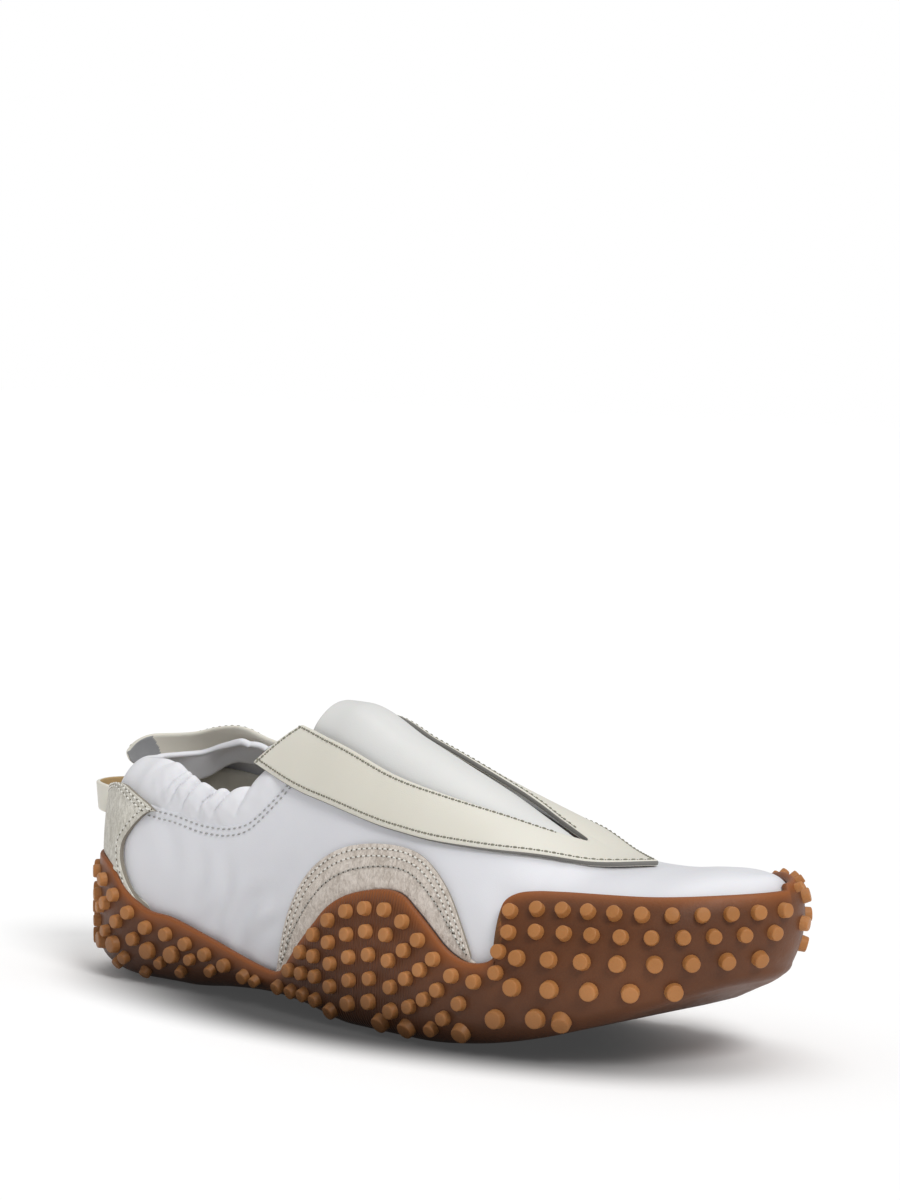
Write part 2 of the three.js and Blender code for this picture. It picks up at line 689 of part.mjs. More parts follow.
const shoe = new THREE.Group();
const overLip = { lateral: aboveLip(-1, 0), medial: aboveLip(1, 0) };
const clearOfLip = { lateral: aboveLip(-1, fitGap), medial: aboveLip(1, fitGap) };
const clearOfCup = clearOfLip.lateral.add(clearOfLip.medial);

const trimmedCup = cup().subtract(overLip.lateral).subtract(overLip.medial);
const outsole = wasm.Manifold.union([trimmedCup, ...studs()]);
shoe.add(meshOf(outsole, "outsole", gumRubber));

// The insole lies on the cup's floor inside the upper's wall.
const insole = solidFromProfiles(aroundGrid.map((around) => {
  const inside = -upperWall - fitGap;
  const spine = spineX(station(around).x);
  const bottom = offLast(around, 0, inside);
  const top = bottom.clone().setZ(bottom.z + insoleThickness);
  const centre = new THREE.Vector3(spine, middle(spine), featherHeight(spine));
  return [centre, bottom, top, centre.clone().setZ(centre.z + insoleThickness)];
}));
shoe.add(meshOf(insole, "insole", greyLining));

// The throat is the V that the tongue fills. A lap widens it beyond the yoke's own opening.
function throat(lap) {
  const lateral = throatLateral.map(slopePoint);
  const [rear, front] = [lateral[0].x, lateral.at(-1).x];
  const aboveLateral = [...lateral, new THREE.Vector2(front, farOut), new THREE.Vector2(rear, farOut)];
  const medial = throatMedial.map(planPoint);
  const besideMedial = [...medial, new THREE.Vector2(rear, -farOut), new THREE.Vector2(front, -farOut)];
  return acrossSlope(grown(aboveLateral, lap)).intersect(upright(grown(besideMedial, lap), 0, farOut));
}

// The collar is an elastic band round the topline, gathered in pleats.
const seamShare = column(collarSections, "seam");
const rimShares = [column(collarSections, "lateralRim"), column(collarSections, "medialRim")];
const seamHeight = (x) => collarHeight * seamShare(share(x));
const rimHeight = (x, side) => collarHeight * rimShares[side < 0 ? 0 : 1](share(x));
const collarFront = 98; // x at which the collar's ends lie under the yoke
const gathers = { from: 36, to: 84 }; // x between which the lateral rim is gathered
const collarRows = 2;
const pleatCells = 2; // cells in a pleat
const collarInset = 0.7; // keeps the collar's finer facets clear of the pieces over it

function collarAround() {
  const [heelHalf, ahead] = [heelArc / sideRun, aroundAt(collarFront, -1)];
  const plain = even(2 * heelCells, 0, heelHalf);
  const start = aroundAt(gathers.from, -1);
  const end = aroundAt(gathers.to, -1);
  const cells = Math.round(((end - start) * sideRun * pleatCells) / pleatPitch);
  const front = [...even(3, end, ahead), ahead];
  const lateral = [...plain.filter((around) => around < start), ...even(cells, start, end), ...front];
  const medial = [...plain, ...even(10, heelHalf, ahead), ahead].slice(1).reverse();
  return [...medial.map((around) => 2 - around), ...lateral];
}

function pleat(around) {
  const x = station(around).x;
  if (around > 1 || x <= gathers.from || x >= gathers.to) return 0;
  const ease = Math.sin((Math.PI * (x - gathers.from)) / (gathers.to - gathers.from));
  return pleatDepth * ease * Math.abs(Math.sin((Math.PI * (x - gathers.from)) / pleatPitch));
}

const collarEnd = 0.4 * lastLength; // beyond the collar's front ends, under the yoke
const seamCells = 14;
const behindThroat = [
  new THREE.Vector2(-farOut / 5, seamHeight(0)),
  ...even(seamCells, 0, collarEnd).map((x) => new THREE.Vector2(x, seamHeight(x))),
  new THREE.Vector2(collarEnd, farOut),
  new THREE.Vector2(-farOut / 5, farOut),
];
const aboveSeam = (gap) => {
  const outline = grown(behindThroat, -gap);
  return acrossSide(outline, -1).add(acrossSide(outline, 1));
};
const seamOverlap = 2; // how far the collar's band starts below the seam before it is cut to it
const collarBand = solidFromProfiles(collarAround().map((around) => {
  const side = sideOf(around);
  const plain = (a, rise) => offLast(a, Math.max(0, rise), 0);
  const low = riseWhere(around, plain, (x) => seamHeight(x) - seamOverlap);
  const high = riseWhere(around, plain, (x) => rimHeight(x, side) - 0.5 * pleat(around));
  const row = (j) => low + ((high - low) * j) / collarRows;
  const fold = (j) => pleat(around) * Math.sin((Math.PI * (j + 0.6)) / (collarRows + 1.2)) - collarInset;
  const outer = Array.from({ length: collarRows + 1 }, (_, j) => offLast(around, row(j), fold(j)));
  const inner = Array.from({ length: collarRows + 1 }, (_, j) =>
    offLast(around, row(j), fold(j) - collarWall));
  return [...outer, ...inner.reverse()];
}), { ring: false });
const collar = collarBand.intersect(aboveSeam(fitGap)).subtract(throat(seamLap));
shoe.add(meshOf(collar, "collar", whiteLeather));

const upper = layer(-upperWall, 0).subtract(aboveSeam(0)).subtract(throat(seamLap));
shoe.add(meshOf(upper, "upper", whiteLeather));

const aheadOfTongueRear = upright([
  ...tongueRear.map(planPoint),
  new THREE.Vector2(lastLength, -farOut),
  new THREE.Vector2(lastLength, farOut),
], 0, farOut);
const tongue = layer(-upperWall, 0).intersect(throat(seamLap - fitGap))
  .add(layer(-upperWall / 2, tongueStep).intersect(throat(-fitGap)))
  .intersect(aheadOfTongueRear);
shoe.add(meshOf(tongue, "tongue", whiteLeather));

// The yoke's two arms meet in a point towards the toe.
const yokeFront = 0.85 * lastLength;
const aboveYokeEdge = [
  ...yokeOuterEdge.map(slopePoint),
  new THREE.Vector2(yokeFront, farOut),
  new THREE.Vector2(yokeOuterEdge[0].at * lastLength, farOut),
  ...yokeRearEdge.map(slopePoint),
];
const insideYokeEdge = [
  ...yokeMedialEdge.map(planPoint),
  planPoint(yokeRearCorner),
  planPoint({ at: yokeRearLimit, out: yokeRearCorner.out }),
  new THREE.Vector2(yokeRearLimit * lastLength, -farOut),
  new THREE.Vector2(yokeFront, -farOut),
];
const yokeSpace = (gap) => acrossSlope(grown(aboveYokeEdge, gap))
  .intersect(upright(grown(insideYokeEdge, gap), 0, farOut));
const yoke = layer(fitGap, fitGap + yokeThickness).intersect(yokeSpace(0)).subtract(throat(0));
shoe.add(meshOf(yoke, "yoke", creamLeather));

// The strap follows the medial collar and leaves it at the heel, where its end hangs free.
const strapTop = column(strapSections, "top");
const strapEnd = 1.995; // place round the last of the free end
const strapLeaves = 1.93; // place where the strap leaves the collar
const strapCells = 22;
const endNarrowing = 0.3; // share of the width that the free end loses
const strapAround = even(strapCells, aroundAt(strapSections.at(-1).at * lastLength, 1), strapEnd);
const strapBand = solidFromProfiles([...strapAround, strapEnd].map((around) => {
  const away = Math.max(0, (around - strapLeaves) / (strapEnd - strapLeaves));
  const inner = strapReach * away ** 1.5;
  const narrowing = endNarrowing * strapWidth * away ** 4;
  const high = collarHeight * strapTop(share(station(around).x)) - narrowing;
  const low = high - strapWidth + 2 * narrowing;
  const edge = (off, height) => offLast(around, riseWhere(around, (a, rise) =>
    offLast(a, Math.max(0, rise), off), () => height), off);
  const outer = inner + strapThickness;
  const rows = [low, (low + high) / 2, high];
  return [...rows.map((z) => edge(outer, z)), ...rows.reverse().map((z) => edge(inner, z))];
}), { ring: false });
const strap = strapBand.subtract(yokeSpace(fitGap));
shoe.add(meshOf(strap, "collar_strap", creamLeather));

// The counter wraps the heel and the panels arch over the waves of the cup.
const counterSide = [...smooth(counterEdge.map(sidePoint), 20), new THREE.Vector2(-0.06 * lastLength, 0)];
const counter = layer(fitGap, fitGap + counterThickness)
  .intersect(acrossSide(counterSide, -1).add(acrossSide(counterSide, 1)))
  .intersect(clearOfCup);
shoe.add(meshOf(counter, "heel_counter", paleSuede));

function panel(rows, side, clear) {
  return layer(fitGap, fitGap + panelThickness)
    .intersect(acrossSide(smooth(rows.map(sidePoint), 18), side))
    .intersect(clear);
}
shoe.add(meshOf(panel(lateralPanel, -1, clearOfLip.lateral), "lateral_panel", paleSuede));
shoe.add(meshOf(panel(medialPanel, 1, clearOfLip.medial), "medial_panel", paleSuede));

// The pull loop stands off the middle of the heel, its ends against the counter.
const loopHalf = 13; // half the span between the loop's ends
const loopFoot = { x: 7, height: 52.5 };
const loopBack = station(0).x - loopReach;
const loopShoulder = { back: 3.5, out: 0.7 }; // where the loop turns in to the heel
const loopCurve = (inset) => {
  const [tip, half] = [loopBack + inset, loopHalf - inset];
  const shoulder = { x: tip + loopShoulder.back, y: loopShoulder.out * half };
  return smooth([
    new THREE.Vector2(loopFoot.x, -half),
    new THREE.Vector2(shoulder.x, -shoulder.y),
    new THREE.Vector2(tip, 0),
    new THREE.Vector2(shoulder.x, shoulder.y),
    new THREE.Vector2(loopFoot.x, half),
  ], 14);
};
const loopBand = [...loopCurve(0), ...loopCurve(strapThickness).reverse()];
const loopTrim = 12; // depth inside the last to which the loop's ends are cut away
const heelCore = layer(-loopTrim, fitGap + counterThickness + fitGap);
const pullLoop = upright(loopBand, loopFoot.height, loopFoot.height + loopWidth).subtract(heelCore);
shoe.add(meshOf(pullLoop, "heel_pull_loop", creamLeather));

// The origin is the middle of the shoe's box, on the floor.
const box = new THREE.Box3().setFromObject(shoe);
const centre = box.getCenter(new THREE.Vector3());
shoe.position.set(-centre.x, -centre.y, -box.min.z);

export default shoe;
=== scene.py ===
# Looks of a slip-on sneaker for a right foot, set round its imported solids.
# Lengths are millimetres until a mesh is made. +X runs to the toe and the lateral side is -Y.
import math

import bpy
import numpy as np
from mathutils import Matrix, Vector


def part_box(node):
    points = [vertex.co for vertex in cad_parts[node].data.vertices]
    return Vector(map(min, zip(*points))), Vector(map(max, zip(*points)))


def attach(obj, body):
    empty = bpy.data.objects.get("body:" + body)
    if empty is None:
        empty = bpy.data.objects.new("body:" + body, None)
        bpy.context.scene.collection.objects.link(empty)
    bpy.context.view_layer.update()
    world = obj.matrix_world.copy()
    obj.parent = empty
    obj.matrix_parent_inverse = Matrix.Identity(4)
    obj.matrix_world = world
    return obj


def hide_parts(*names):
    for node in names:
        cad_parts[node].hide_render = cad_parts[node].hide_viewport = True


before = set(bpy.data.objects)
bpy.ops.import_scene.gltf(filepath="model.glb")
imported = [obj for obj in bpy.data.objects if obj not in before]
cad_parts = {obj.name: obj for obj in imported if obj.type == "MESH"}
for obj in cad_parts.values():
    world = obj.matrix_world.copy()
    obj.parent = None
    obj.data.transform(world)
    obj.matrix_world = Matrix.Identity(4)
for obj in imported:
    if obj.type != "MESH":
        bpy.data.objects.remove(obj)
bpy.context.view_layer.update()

MM = 0.001  # one millimetre in metres

# Driving sizes of the last and the pieces, as in the part
LAST_LENGTH = 270.0
BALL_WIDTH = 86.0
INSTEP_HEIGHT = 98.0
EDGE_TUCK = 6.0
HEEL_ROUND = 30.0
TOE_ROUND = 34.0
HEEL_CROWN = 44.0
HEEL_FAN = 90.0
TOE_CROWN = 10.0
TOE_FAN = 60.0
TUCK_END = 0.55
FIT_GAP = 0.3
UPPER_WALL = 1.8
HEEL_SEAT = 12.0
TOE_SPRING = 26.0
ARCH_RISE = 4.0
RUBBER_WALL = 2.6
SOLE_FLARE = 4.0
EDGE_ROUND = 9.0
LIP_HEIGHT = 56.0
STUD_WIDTH = 5.2
STUD_TOP = 4.4
STUD_HEIGHT = 2.4
STUD_ROOT = 1.4
COLLAR_HEIGHT = 80.0
YOKE_THICKNESS = 1.6
COUNTER_THICKNESS = 1.8
PANEL_THICKNESS = 1.3
STRAP_THICKNESS = 1.6
STRAP_WIDTH = 11.0
STRAP_REACH = 9.0
LOOP_WIDTH = 10.0
LOOP_REACH = 12.0
SEAM_LAP = 3.5


def table(names, *rows):
    """Rows of a table as named columns."""
    return dict(zip(names.split(), np.array(rows, float).T))


LAST = table(
    "at lateral medial crown rubber spring arch fullness tuck flare round",
    (0.00, 0.70, 0.70, 0.830, 0.92, 0.00, 0.0, 4.20, 0.30, 0.30, 1.8),
    (0.10, 0.72, 0.71, 0.851, 1.00, 0.00, 0.0, 3.80, 0.30, 0.30, 1.8),
    (0.18, 0.73, 0.69, 0.876, 1.00, 0.00, 0.0, 3.20, 0.40, 0.20, 1.7),
    (0.26, 0.74, 0.64, 0.922, 0.80, 0.00, 0.6, 2.60, 0.50, 0.20, 1.3),
    (0.34, 0.76, 0.60, 1.000, 0.57, 0.00, 1.0, 2.25, 0.50, 0.25, 0.9),
    (0.40, 0.80, 0.61, 1.011, 0.62, 0.00, 0.8, 2.10, 0.40, 0.30, 0.8),
    (0.49, 0.89, 0.69, 0.918, 0.80, 0.00, 0.0, 2.10, 0.30, 0.40, 0.9),
    (0.60, 0.97, 0.83, 0.799, 0.92, 0.00, 0.0, 2.20, 0.30, 0.50, 1.0),
    (0.70, 1.00, 0.94, 0.696, 0.83, 0.10, 0.0, 2.35, 0.35, 0.50, 1.0),
    (0.78, 0.96, 1.00, 0.612, 0.64, 0.27, 0.0, 2.50, 0.45, 0.40, 1.1),
    (0.86, 0.85, 0.99, 0.606, 0.55, 0.52, 0.0, 2.60, 0.65, 0.30, 1.2),
    (0.93, 0.70, 0.94, 0.622, 0.52, 0.77, 0.0, 2.70, 0.85, 0.25, 1.2),
    (1.00, 0.48, 0.85, 0.612, 0.50, 1.00, 0.0, 2.80, 1.00, 0.25, 1.2),
)
COLLAR = table(
    "at seam lateral medial",
    (-0.043, 0.782, 0.942, 0.942),
    (0.047, 0.791, 0.963, 0.968),
    (0.097, 0.775, 0.975, 0.995),
    (0.147, 0.759, 0.966, 0.976),
    (0.177, 0.750, 0.920, 0.945),
    (0.217, 0.727, 0.868, 0.919),
    (0.247, 0.723, 0.861, 0.913),
    (0.277, 0.737, 0.892, 0.937),
    (0.297, 0.765, 0.949, 0.969),
    (0.326, 0.853, 1.033, 1.033),
    (0.355, 0.964, 1.077, 1.077),
    (0.393, 1.142, 1.172, 1.172),
)
LATERAL_LIP = table(
    "at height",
    (-0.06, 0.713), (0.03, 0.72), (0.074, 0.674), (0.104, 0.546), (0.142, 0.445), (0.182, 0.421),
    (0.233, 0.354), (0.296, 0.266), (0.339, 0.216), (0.364, 0.212), (0.381, 0.272), (0.405, 0.415),
    (0.431, 0.549), (0.456, 0.67), (0.491, 0.76), (0.539, 0.817), (0.573, 0.812), (0.6, 0.74),
    (0.629, 0.646), (0.654, 0.562), (0.679, 0.511), (0.702, 0.503), (0.722, 0.531), (0.733, 0.594),
    (0.735, 0.693), (0.725, 0.807), (0.725, 0.865), (0.735, 0.907), (0.753, 0.928), (0.786, 0.94),
    (0.878, 0.96), (0.948, 0.98), (1.038, 1.005),
)
MEDIAL_LIP = table(
    "at height",
    (-0.06, 0.713), (0.03, 0.72), (0.08, 0.648), (0.121, 0.53), (0.172, 0.441), (0.243, 0.364),
    (0.333, 0.309), (0.433, 0.327), (0.502, 0.428), (0.556, 0.598), (0.605, 0.732), (0.65, 0.776),
    (0.7, 0.722), (0.751, 0.606), (0.791, 0.56), (0.831, 0.603), (0.856, 0.723), (0.873, 0.86),
    (0.899, 0.97), (0.948, 1.045), (0.985, 1.045), (1.01, 1.015), (1.038, 1.005),
)
LATERAL_ARCH = table(
    "at height",
    (0.354, 0.143), (0.363, 0.368), (0.379, 0.621), (0.409, 0.849), (0.458, 1.01), (0.522, 1.075),
    (0.583, 1.05), (0.634, 0.898), (0.67, 0.69), (0.702, 0.428),
)
MEDIAL_ARCH = table(
    "at height",
    (0.474, 0.209), (0.491, 0.569), (0.529, 0.835), (0.588, 0.997), (0.648, 1.044), (0.708, 0.983),
    (0.759, 0.831), (0.791, 0.658), (0.812, 0.447),
)
COUNTER_FRONT = table(
    "at height",
    (0.14, 0.43), (0.111, 0.561), (0.092, 0.707), (0.091, 0.823), (0.103, 0.912), (0.131, 1.041),
    (0.151, 1.062),
)
COUNTER_TOP = table(
    "at height",
    (-0.063, 1.105), (0.017, 1.137), (0.056, 1.18), (0.088, 1.204), (0.13, 1.148), (0.147, 1.106),
)
YOKE_OUTER = table(
    "at up",
    (0.286, 0.403), (0.354, 0.342), (0.425, 0.298), (0.494, 0.26), (0.543, 0.241),
    (0.604, 0.23), (0.685, 0.246), (0.752, 0.295), (0.792, 0.337), (0.837, 0.418),
)
THROAT_LATERAL = table(
    "at up",
    (0.242, 0.596), (0.338, 0.548), (0.428, 0.483), (0.511, 0.423), (0.585, 0.399), (0.652, 0.393),
    (0.706, 0.395), (0.752, 0.432),
)
THROAT_MEDIAL = table(
    "at out",
    (0.242, 0.28), (0.337, 0.21), (0.399, 0.14), (0.467, 0.09), (0.55, 0.06), (0.628, 0.04),
    (0.698, -0.035), (0.757, -0.07),
)
YOKE_MEDIAL = table(
    "at out",
    (0.289, 0.43), (0.36, 0.42), (0.437, 0.43), (0.52, 0.45), (0.61, 0.46), (0.685, 0.42),
    (0.74, 0.34), (0.795, 0.2), (0.845, -0.03),
)
STRAP = table(
    "at top",
    (0, 1.0), (0.05, 1.03), (0.1, 1.02), (0.14, 0.985), (0.178, 0.965), (0.22, 0.95), (0.25, 0.96),
    (0.278, 0.995), (0.304, 1.05), (0.326, 1.1),
)
STUD_ROWS = table(
    "side begin end drop most pitch big",
    (-1, 0.0, 0.36, 5, 60, 8.9, 1), (-1, 0.0, 0.14, 12.5, 60, 9.3, 1), (-1, 0.0, 0.12, 7, 22, 9, 1),
    (-1, 0.03, 0.27, 7, 12, 9.8, 1.25), (-1, 0.36, 0.72, 5, 60, 8.7, 1),
    (-1, 0.38, 0.7, 12.5, 60, 9.1, 1), (-1, 0.4, 0.68, 20, 60, 9.3, 1),
    (-1, 0.42, 0.68, 27.5, 60, 9.8, 1), (-1, 0.44, 0.66, 35, 60, 10.2, 1.1),
    (-1, 0.735, 1, 5, 60, 8.7, 1), (-1, 0.735, 1, 11.5, 60, 9.3, 1),
    (-1, 0.745, 1, 19.5, 60, 11, 1.1), (-1, 0.75, 0.99, 28.5, 60, 12.7, 1.2),
    (-1, 0.72, 0.97, 38, 60, 13.8, 1.3), (-1, 0.4, 0.84, 5, 4.6, 10.4, 1.3),
    (1, 0.02, 0.42, 5, 60, 12.1, 1), (1, 0.03, 0.27, 7, 12, 13.2, 1.25),
    (1, 0.48, 0.8, 5, 60, 11.9, 1), (1, 0.5, 0.78, 12.5, 60, 12.4, 1),
    (1, 0.53, 0.76, 20.5, 60, 12.8, 1), (1, 0.87, 1, 5, 60, 10.9, 1),
    (1, 0.87, 1, 12.5, 60, 12.1, 1), (1, 0.86, 0.99, 21.5, 60, 14, 1.1),
    (1, 0.5, 0.84, 5, 7, 14, 1.2),
)


# The last and the views of it

def column(rows, name):
    """A smooth curve through one column of a table, with no overshoot, read at shares."""
    at, value = rows["at"], rows[name]
    chord = np.diff(value) / np.diff(at)
    slope = np.zeros(len(at))
    slope[1:-1] = np.where(chord[:-1] * chord[1:] <= 0, 0, (chord[:-1] + chord[1:]) / 2)

    def read(share):
        place = np.clip(share, at[0], at[-1])
        high = np.clip(np.searchsorted(at, place), 1, len(at) - 1)
        low = high - 1
        run = at[high] - at[low]
        t = (place - at[low]) / run
        return ((2 * t**3 - 3 * t**2 + 1) * value[low] + (t**3 - 2 * t**2 + t) * slope[low] * run
                + (3 * t**2 - 2 * t**3) * value[high] + (t**3 - t**2) * slope[high] * run)
    return read


last = {name: column(LAST, name) for name in LAST if name != "at"}
collar = {name: column(COLLAR, name) for name in COLLAR if name != "at"}
strap_top = column(STRAP, "top")

HEEL_ARC = math.pi / 2 * HEEL_ROUND
TOE_ARC = math.pi / 2 * TOE_ROUND
SIDE_RUN = HEEL_ARC + (LAST_LENGTH - HEEL_ROUND - TOE_ROUND) + TOE_ARC


def half_width(x):
    return BALL_WIDTH / 4 * (last["lateral"](x / LAST_LENGTH) + last["medial"](x / LAST_LENGTH))


def middle(x):
    return BALL_WIDTH / 4 * (last["medial"](x / LAST_LENGTH) - last["lateral"](x / LAST_LENGTH))


def underside(x):
    return TOE_SPRING * last["spring"](x / LAST_LENGTH) + ARCH_RISE * last["arch"](x / LAST_LENGTH)


def feather_height(x):
    return underside(x) + HEEL_SEAT * last["rubber"](x / LAST_LENGTH)


def station(around):
    """x round the last, and the share of the half width left where heel or toe rounds off."""
    around = np.asarray(around, float)
    run = np.where(around > 1, 2 - around, np.abs(around)) * SIDE_RUN
    heel, toe = run / HEEL_ROUND, (SIDE_RUN - run) / TOE_ROUND
    x = HEEL_ROUND + run - HEEL_ARC
    cap = np.ones_like(x)
    at_heel, at_toe = run < HEEL_ARC, run > SIDE_RUN - TOE_ARC
    x = np.where(at_heel, HEEL_ROUND * (1 - np.cos(heel)), x)
    x = np.where(at_toe, LAST_LENGTH - TOE_ROUND * (1 - np.cos(toe)), x)
    cap = np.where(at_heel, np.sin(heel), np.where(at_toe, np.sin(toe), cap))
    return x, cap


def around_at(x, side):
    """Place round the last of the meridian that starts at x on one side."""
    clear = np.clip(x, 0, LAST_LENGTH)
    run = clear - HEEL_ROUND + HEEL_ARC
    run = np.where(clear < HEEL_ROUND, HEEL_ROUND * np.arccos(np.clip(1 - clear / HEEL_ROUND, -1, 1)), run)
    from_toe = LAST_LENGTH - clear
    toe = SIDE_RUN - TOE_ROUND * np.arccos(np.clip(1 - from_toe / TOE_ROUND, -1, 1))
    run = np.where(from_toe < TOE_ROUND, toe, run)
    return np.where(np.asarray(side) < 0, run / SIDE_RUN, 2 - run / SIDE_RUN)


def spine_x(x):
    heel = np.maximum(0, 1 - x / HEEL_FAN)
    toe = np.maximum(0, (x - LAST_LENGTH + TOE_FAN) / TOE_FAN)
    return x + HEEL_CROWN * heel**2 - TOE_CROWN * toe**2


def side_of(around):
    return np.where((np.asarray(around) > 1) | (np.asarray(around) < 0), 1.0, -1.0)


def last_point(around, rise):
    """The last itself: rise runs from 0 at the feather line to 1 at the crown line."""
    x, cap = station(around)
    crown = spine_x(x)
    angle = np.clip(rise, 0, 1) * math.pi / 2
    power = last["fullness"](x / LAST_LENGTH)
    cosine, sine = np.maximum(np.cos(angle), 1e-9), np.maximum(np.sin(angle), 1e-9)
    reach = (cosine**power + sine**power) ** (-1 / power)
    out = np.where(np.asarray(rise) >= 1, 0, reach * cosine)
    lift = np.where(np.asarray(rise) >= 1, 1, reach * sine)
    edge = middle(x) + side_of(around) * half_width(x) * cap
    foot = feather_height(x)
    crown_z = INSTEP_HEIGHT * last["crown"](crown / LAST_LENGTH)
    return np.stack([crown + (x - crown) * out,
                     middle(crown) + (edge - middle(crown)) * out,
                     foot + (crown_z - foot) * lift], -1)


def unit(v):
    return v / np.maximum(np.linalg.norm(v, axis=-1, keepdims=True), 1e-12)


def last_normal(around, rise):
    step, ceiling = 0.002, 0.96
    around, rise = np.broadcast_arrays(np.asarray(around, float), np.asarray(rise, float))
    r = np.clip(rise, step, ceiling)
    along = last_point(around + step, r) - last_point(around - step, r)
    up = last_point(around, r + step) - last_point(around, r - step)
    normal = unit(np.cross(along, up))
    level = np.clip((rise - ceiling) / (1 - ceiling), 0, 1)[..., None]
    return unit(normal * (1 - level) + np.array([0, 0, 1.0]) * level)


def off_last(around, rise, off):
    """A point off the last, drawn in towards the feather line."""
    around, rise = np.broadcast_arrays(np.asarray(around, float), np.asarray(rise, float))
    low = np.maximum(0, 1 - rise / TUCK_END)
    tuck = EDGE_TUCK * last["tuck"](station(around)[0] / LAST_LENGTH) * low**2
    reach = np.asarray(off - tuck)[..., None]
    return last_point(around, np.maximum(rise, 0)) + last_normal(around, np.maximum(rise, 0)) * reach


def off_face(off):
    """A face that stands off the last, where a rise under the feather line counts as the line."""
    return lambda around, rise: off_last(around, np.maximum(rise, 0), off)


def sole_skin(around, rise):
    """The cup's outer skin. Below a rise of 0 it rounds under the edge, and at -1 it is flat."""
    around, rise = np.broadcast_arrays(np.asarray(around, float), np.asarray(rise, float))
    x = station(around)[0]
    above = np.maximum(rise, 0)
    flare = SOLE_FLARE * last["flare"](x / LAST_LENGTH) * np.maximum(0, 1 - above / TUCK_END)
    skin = off_last(around, above, FIT_GAP + RUBBER_WALL + flare)
    inwards = last_normal(around, np.zeros_like(above))
    inwards[..., 2] = 0
    inwards = unit(inwards)
    angle = np.maximum(-rise, 0) * math.pi / 2
    round_in = EDGE_ROUND * last["round"](x / LAST_LENGTH) * (1 - np.cos(angle))
    skin = skin - inwards * round_in[..., None]
    skin[..., 2] += (underside(x) - skin[..., 2]) * np.sin(angle)
    return skin


def rise_where(around, surface, line):
    """The rise at which a surface round the last crosses a line of heights over x."""
    around = np.asarray(around, float)
    low, high = np.full(around.shape, -1.0), np.full(around.shape, 0.99)
    for _ in range(26):
        rise = (low + high) / 2
        point = surface(around, rise)
        below = point[..., 2] < line(point[..., 0])
        low, high = np.where(below, rise, low), np.where(below, high, rise)
    return low


def side_view(p):
    return p[..., [0, 2]]


def plan_view(p):
    return p[..., [0, 1]]


def slope_view(p):
    return np.stack([p[..., 0], (p[..., 1] + p[..., 2]) / math.sqrt(2)], -1)


def settle(target, side, view, surface=lambda a, r: off_last(a, r, 0.0), rise=0.7):
    """Place round the last and rise of the points that a view shows at the target places."""
    target = np.asarray(target, float)
    around = np.array(around_at(target[..., 0], side), float)
    rise = np.full(around.shape, float(rise))
    step = 1e-4
    for _ in range(40):
        here = view(surface(around, rise))
        by_around = (view(surface(around + step, rise)) - here) / step
        by_rise = (view(surface(around, rise + step)) - here) / step
        miss = target - here
        det = by_around[..., 0] * by_rise[..., 1] - by_around[..., 1] * by_rise[..., 0]
        det = np.where(np.abs(det) < 1e-6, 1e-6, det)
        da = (miss[..., 0] * by_rise[..., 1] - miss[..., 1] * by_rise[..., 0]) / det
        dr = (by_around[..., 0] * miss[..., 1] - by_around[..., 1] * miss[..., 0]) / det
        around = around + np.clip(da, -0.03, 0.03)
        rise = np.clip(rise + np.clip(dr, -0.08, 0.08), 0.0, 0.9995)
    return around, rise


def on_plan(xy, off):
    """Points of the last over places seen from above, moved off along the normal."""
    crown_y = middle(xy[..., 0])
    side = np.where(xy[..., 1] > crown_y, 1.0, -1.0)
    around, rise = settle(xy, side, plan_view, rise=0.8)
    return off_last(around, rise, off)


def spline(points, count):
    """A curve through points, read at even steps of its length."""
    points = np.asarray(points, float)
    padded = np.vstack([2 * points[0] - points[1], points, 2 * points[-1] - points[-2]])
    t = np.linspace(0, len(points) - 1, 40 * len(points))
    i = np.minimum(t.astype(int), len(points) - 2)
    f = (t - i)[:, None]
    a, b, c, d = (padded[i + k] for k in range(4))
    dense = 0.5 * (2 * b + (c - a) * f + (2 * a - 5 * b + 4 * c - d) * f**2
                   + (3 * b - a - 3 * c + d) * f**3)
    return even_steps(dense, count)


def even_steps(curve, count):
    length = np.concatenate([[0], np.cumsum(np.linalg.norm(np.diff(curve, axis=0), axis=1))])
    wanted = np.linspace(0, length[-1], count)
    return np.stack([np.interp(wanted, length, curve[:, k]) for k in range(curve.shape[1])], 1)


def side_line(rows, count):
    return spline(np.stack([LAST_LENGTH * rows["at"], LIP_HEIGHT * rows["height"]], 1), count)


def smoothstep(t):
    t = np.clip(t, 0, 1)
    return t * t * (3 - 2 * t)


def find_origin():
    """The part's origin in the last's own frame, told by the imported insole."""
    around = np.linspace(0, 2, 801)
    outline = off_last(around, np.zeros_like(around), -UPPER_WALL - FIT_GAP)
    low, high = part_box("insole")
    own = (outline.min(0) + outline.max(0)) / 2
    packed = [(low[k] + high[k]) / 2 / MM for k in range(2)]
    return np.array([packed[0] - own[0], packed[1] - own[1], 0.0])


ORIGIN = find_origin()


# Making pieces

def deselect():
    bpy.ops.object.select_all(action="DESELECT")


def activate(piece):
    deselect()
    piece.select_set(True)
    bpy.context.view_layer.objects.active = piece


def weld_and_orient(piece, distance=2e-5):
    activate(piece)
    bpy.ops.object.mode_set(mode="EDIT")
    bpy.ops.mesh.select_all(action="SELECT")
    bpy.ops.mesh.remove_doubles(threshold=distance)
    bpy.ops.mesh.dissolve_degenerate(threshold=1e-6)
    bpy.ops.mesh.select_all(action="SELECT")
    bpy.ops.mesh.normals_make_consistent(inside=False)
    bpy.ops.object.mode_set(mode="OBJECT")


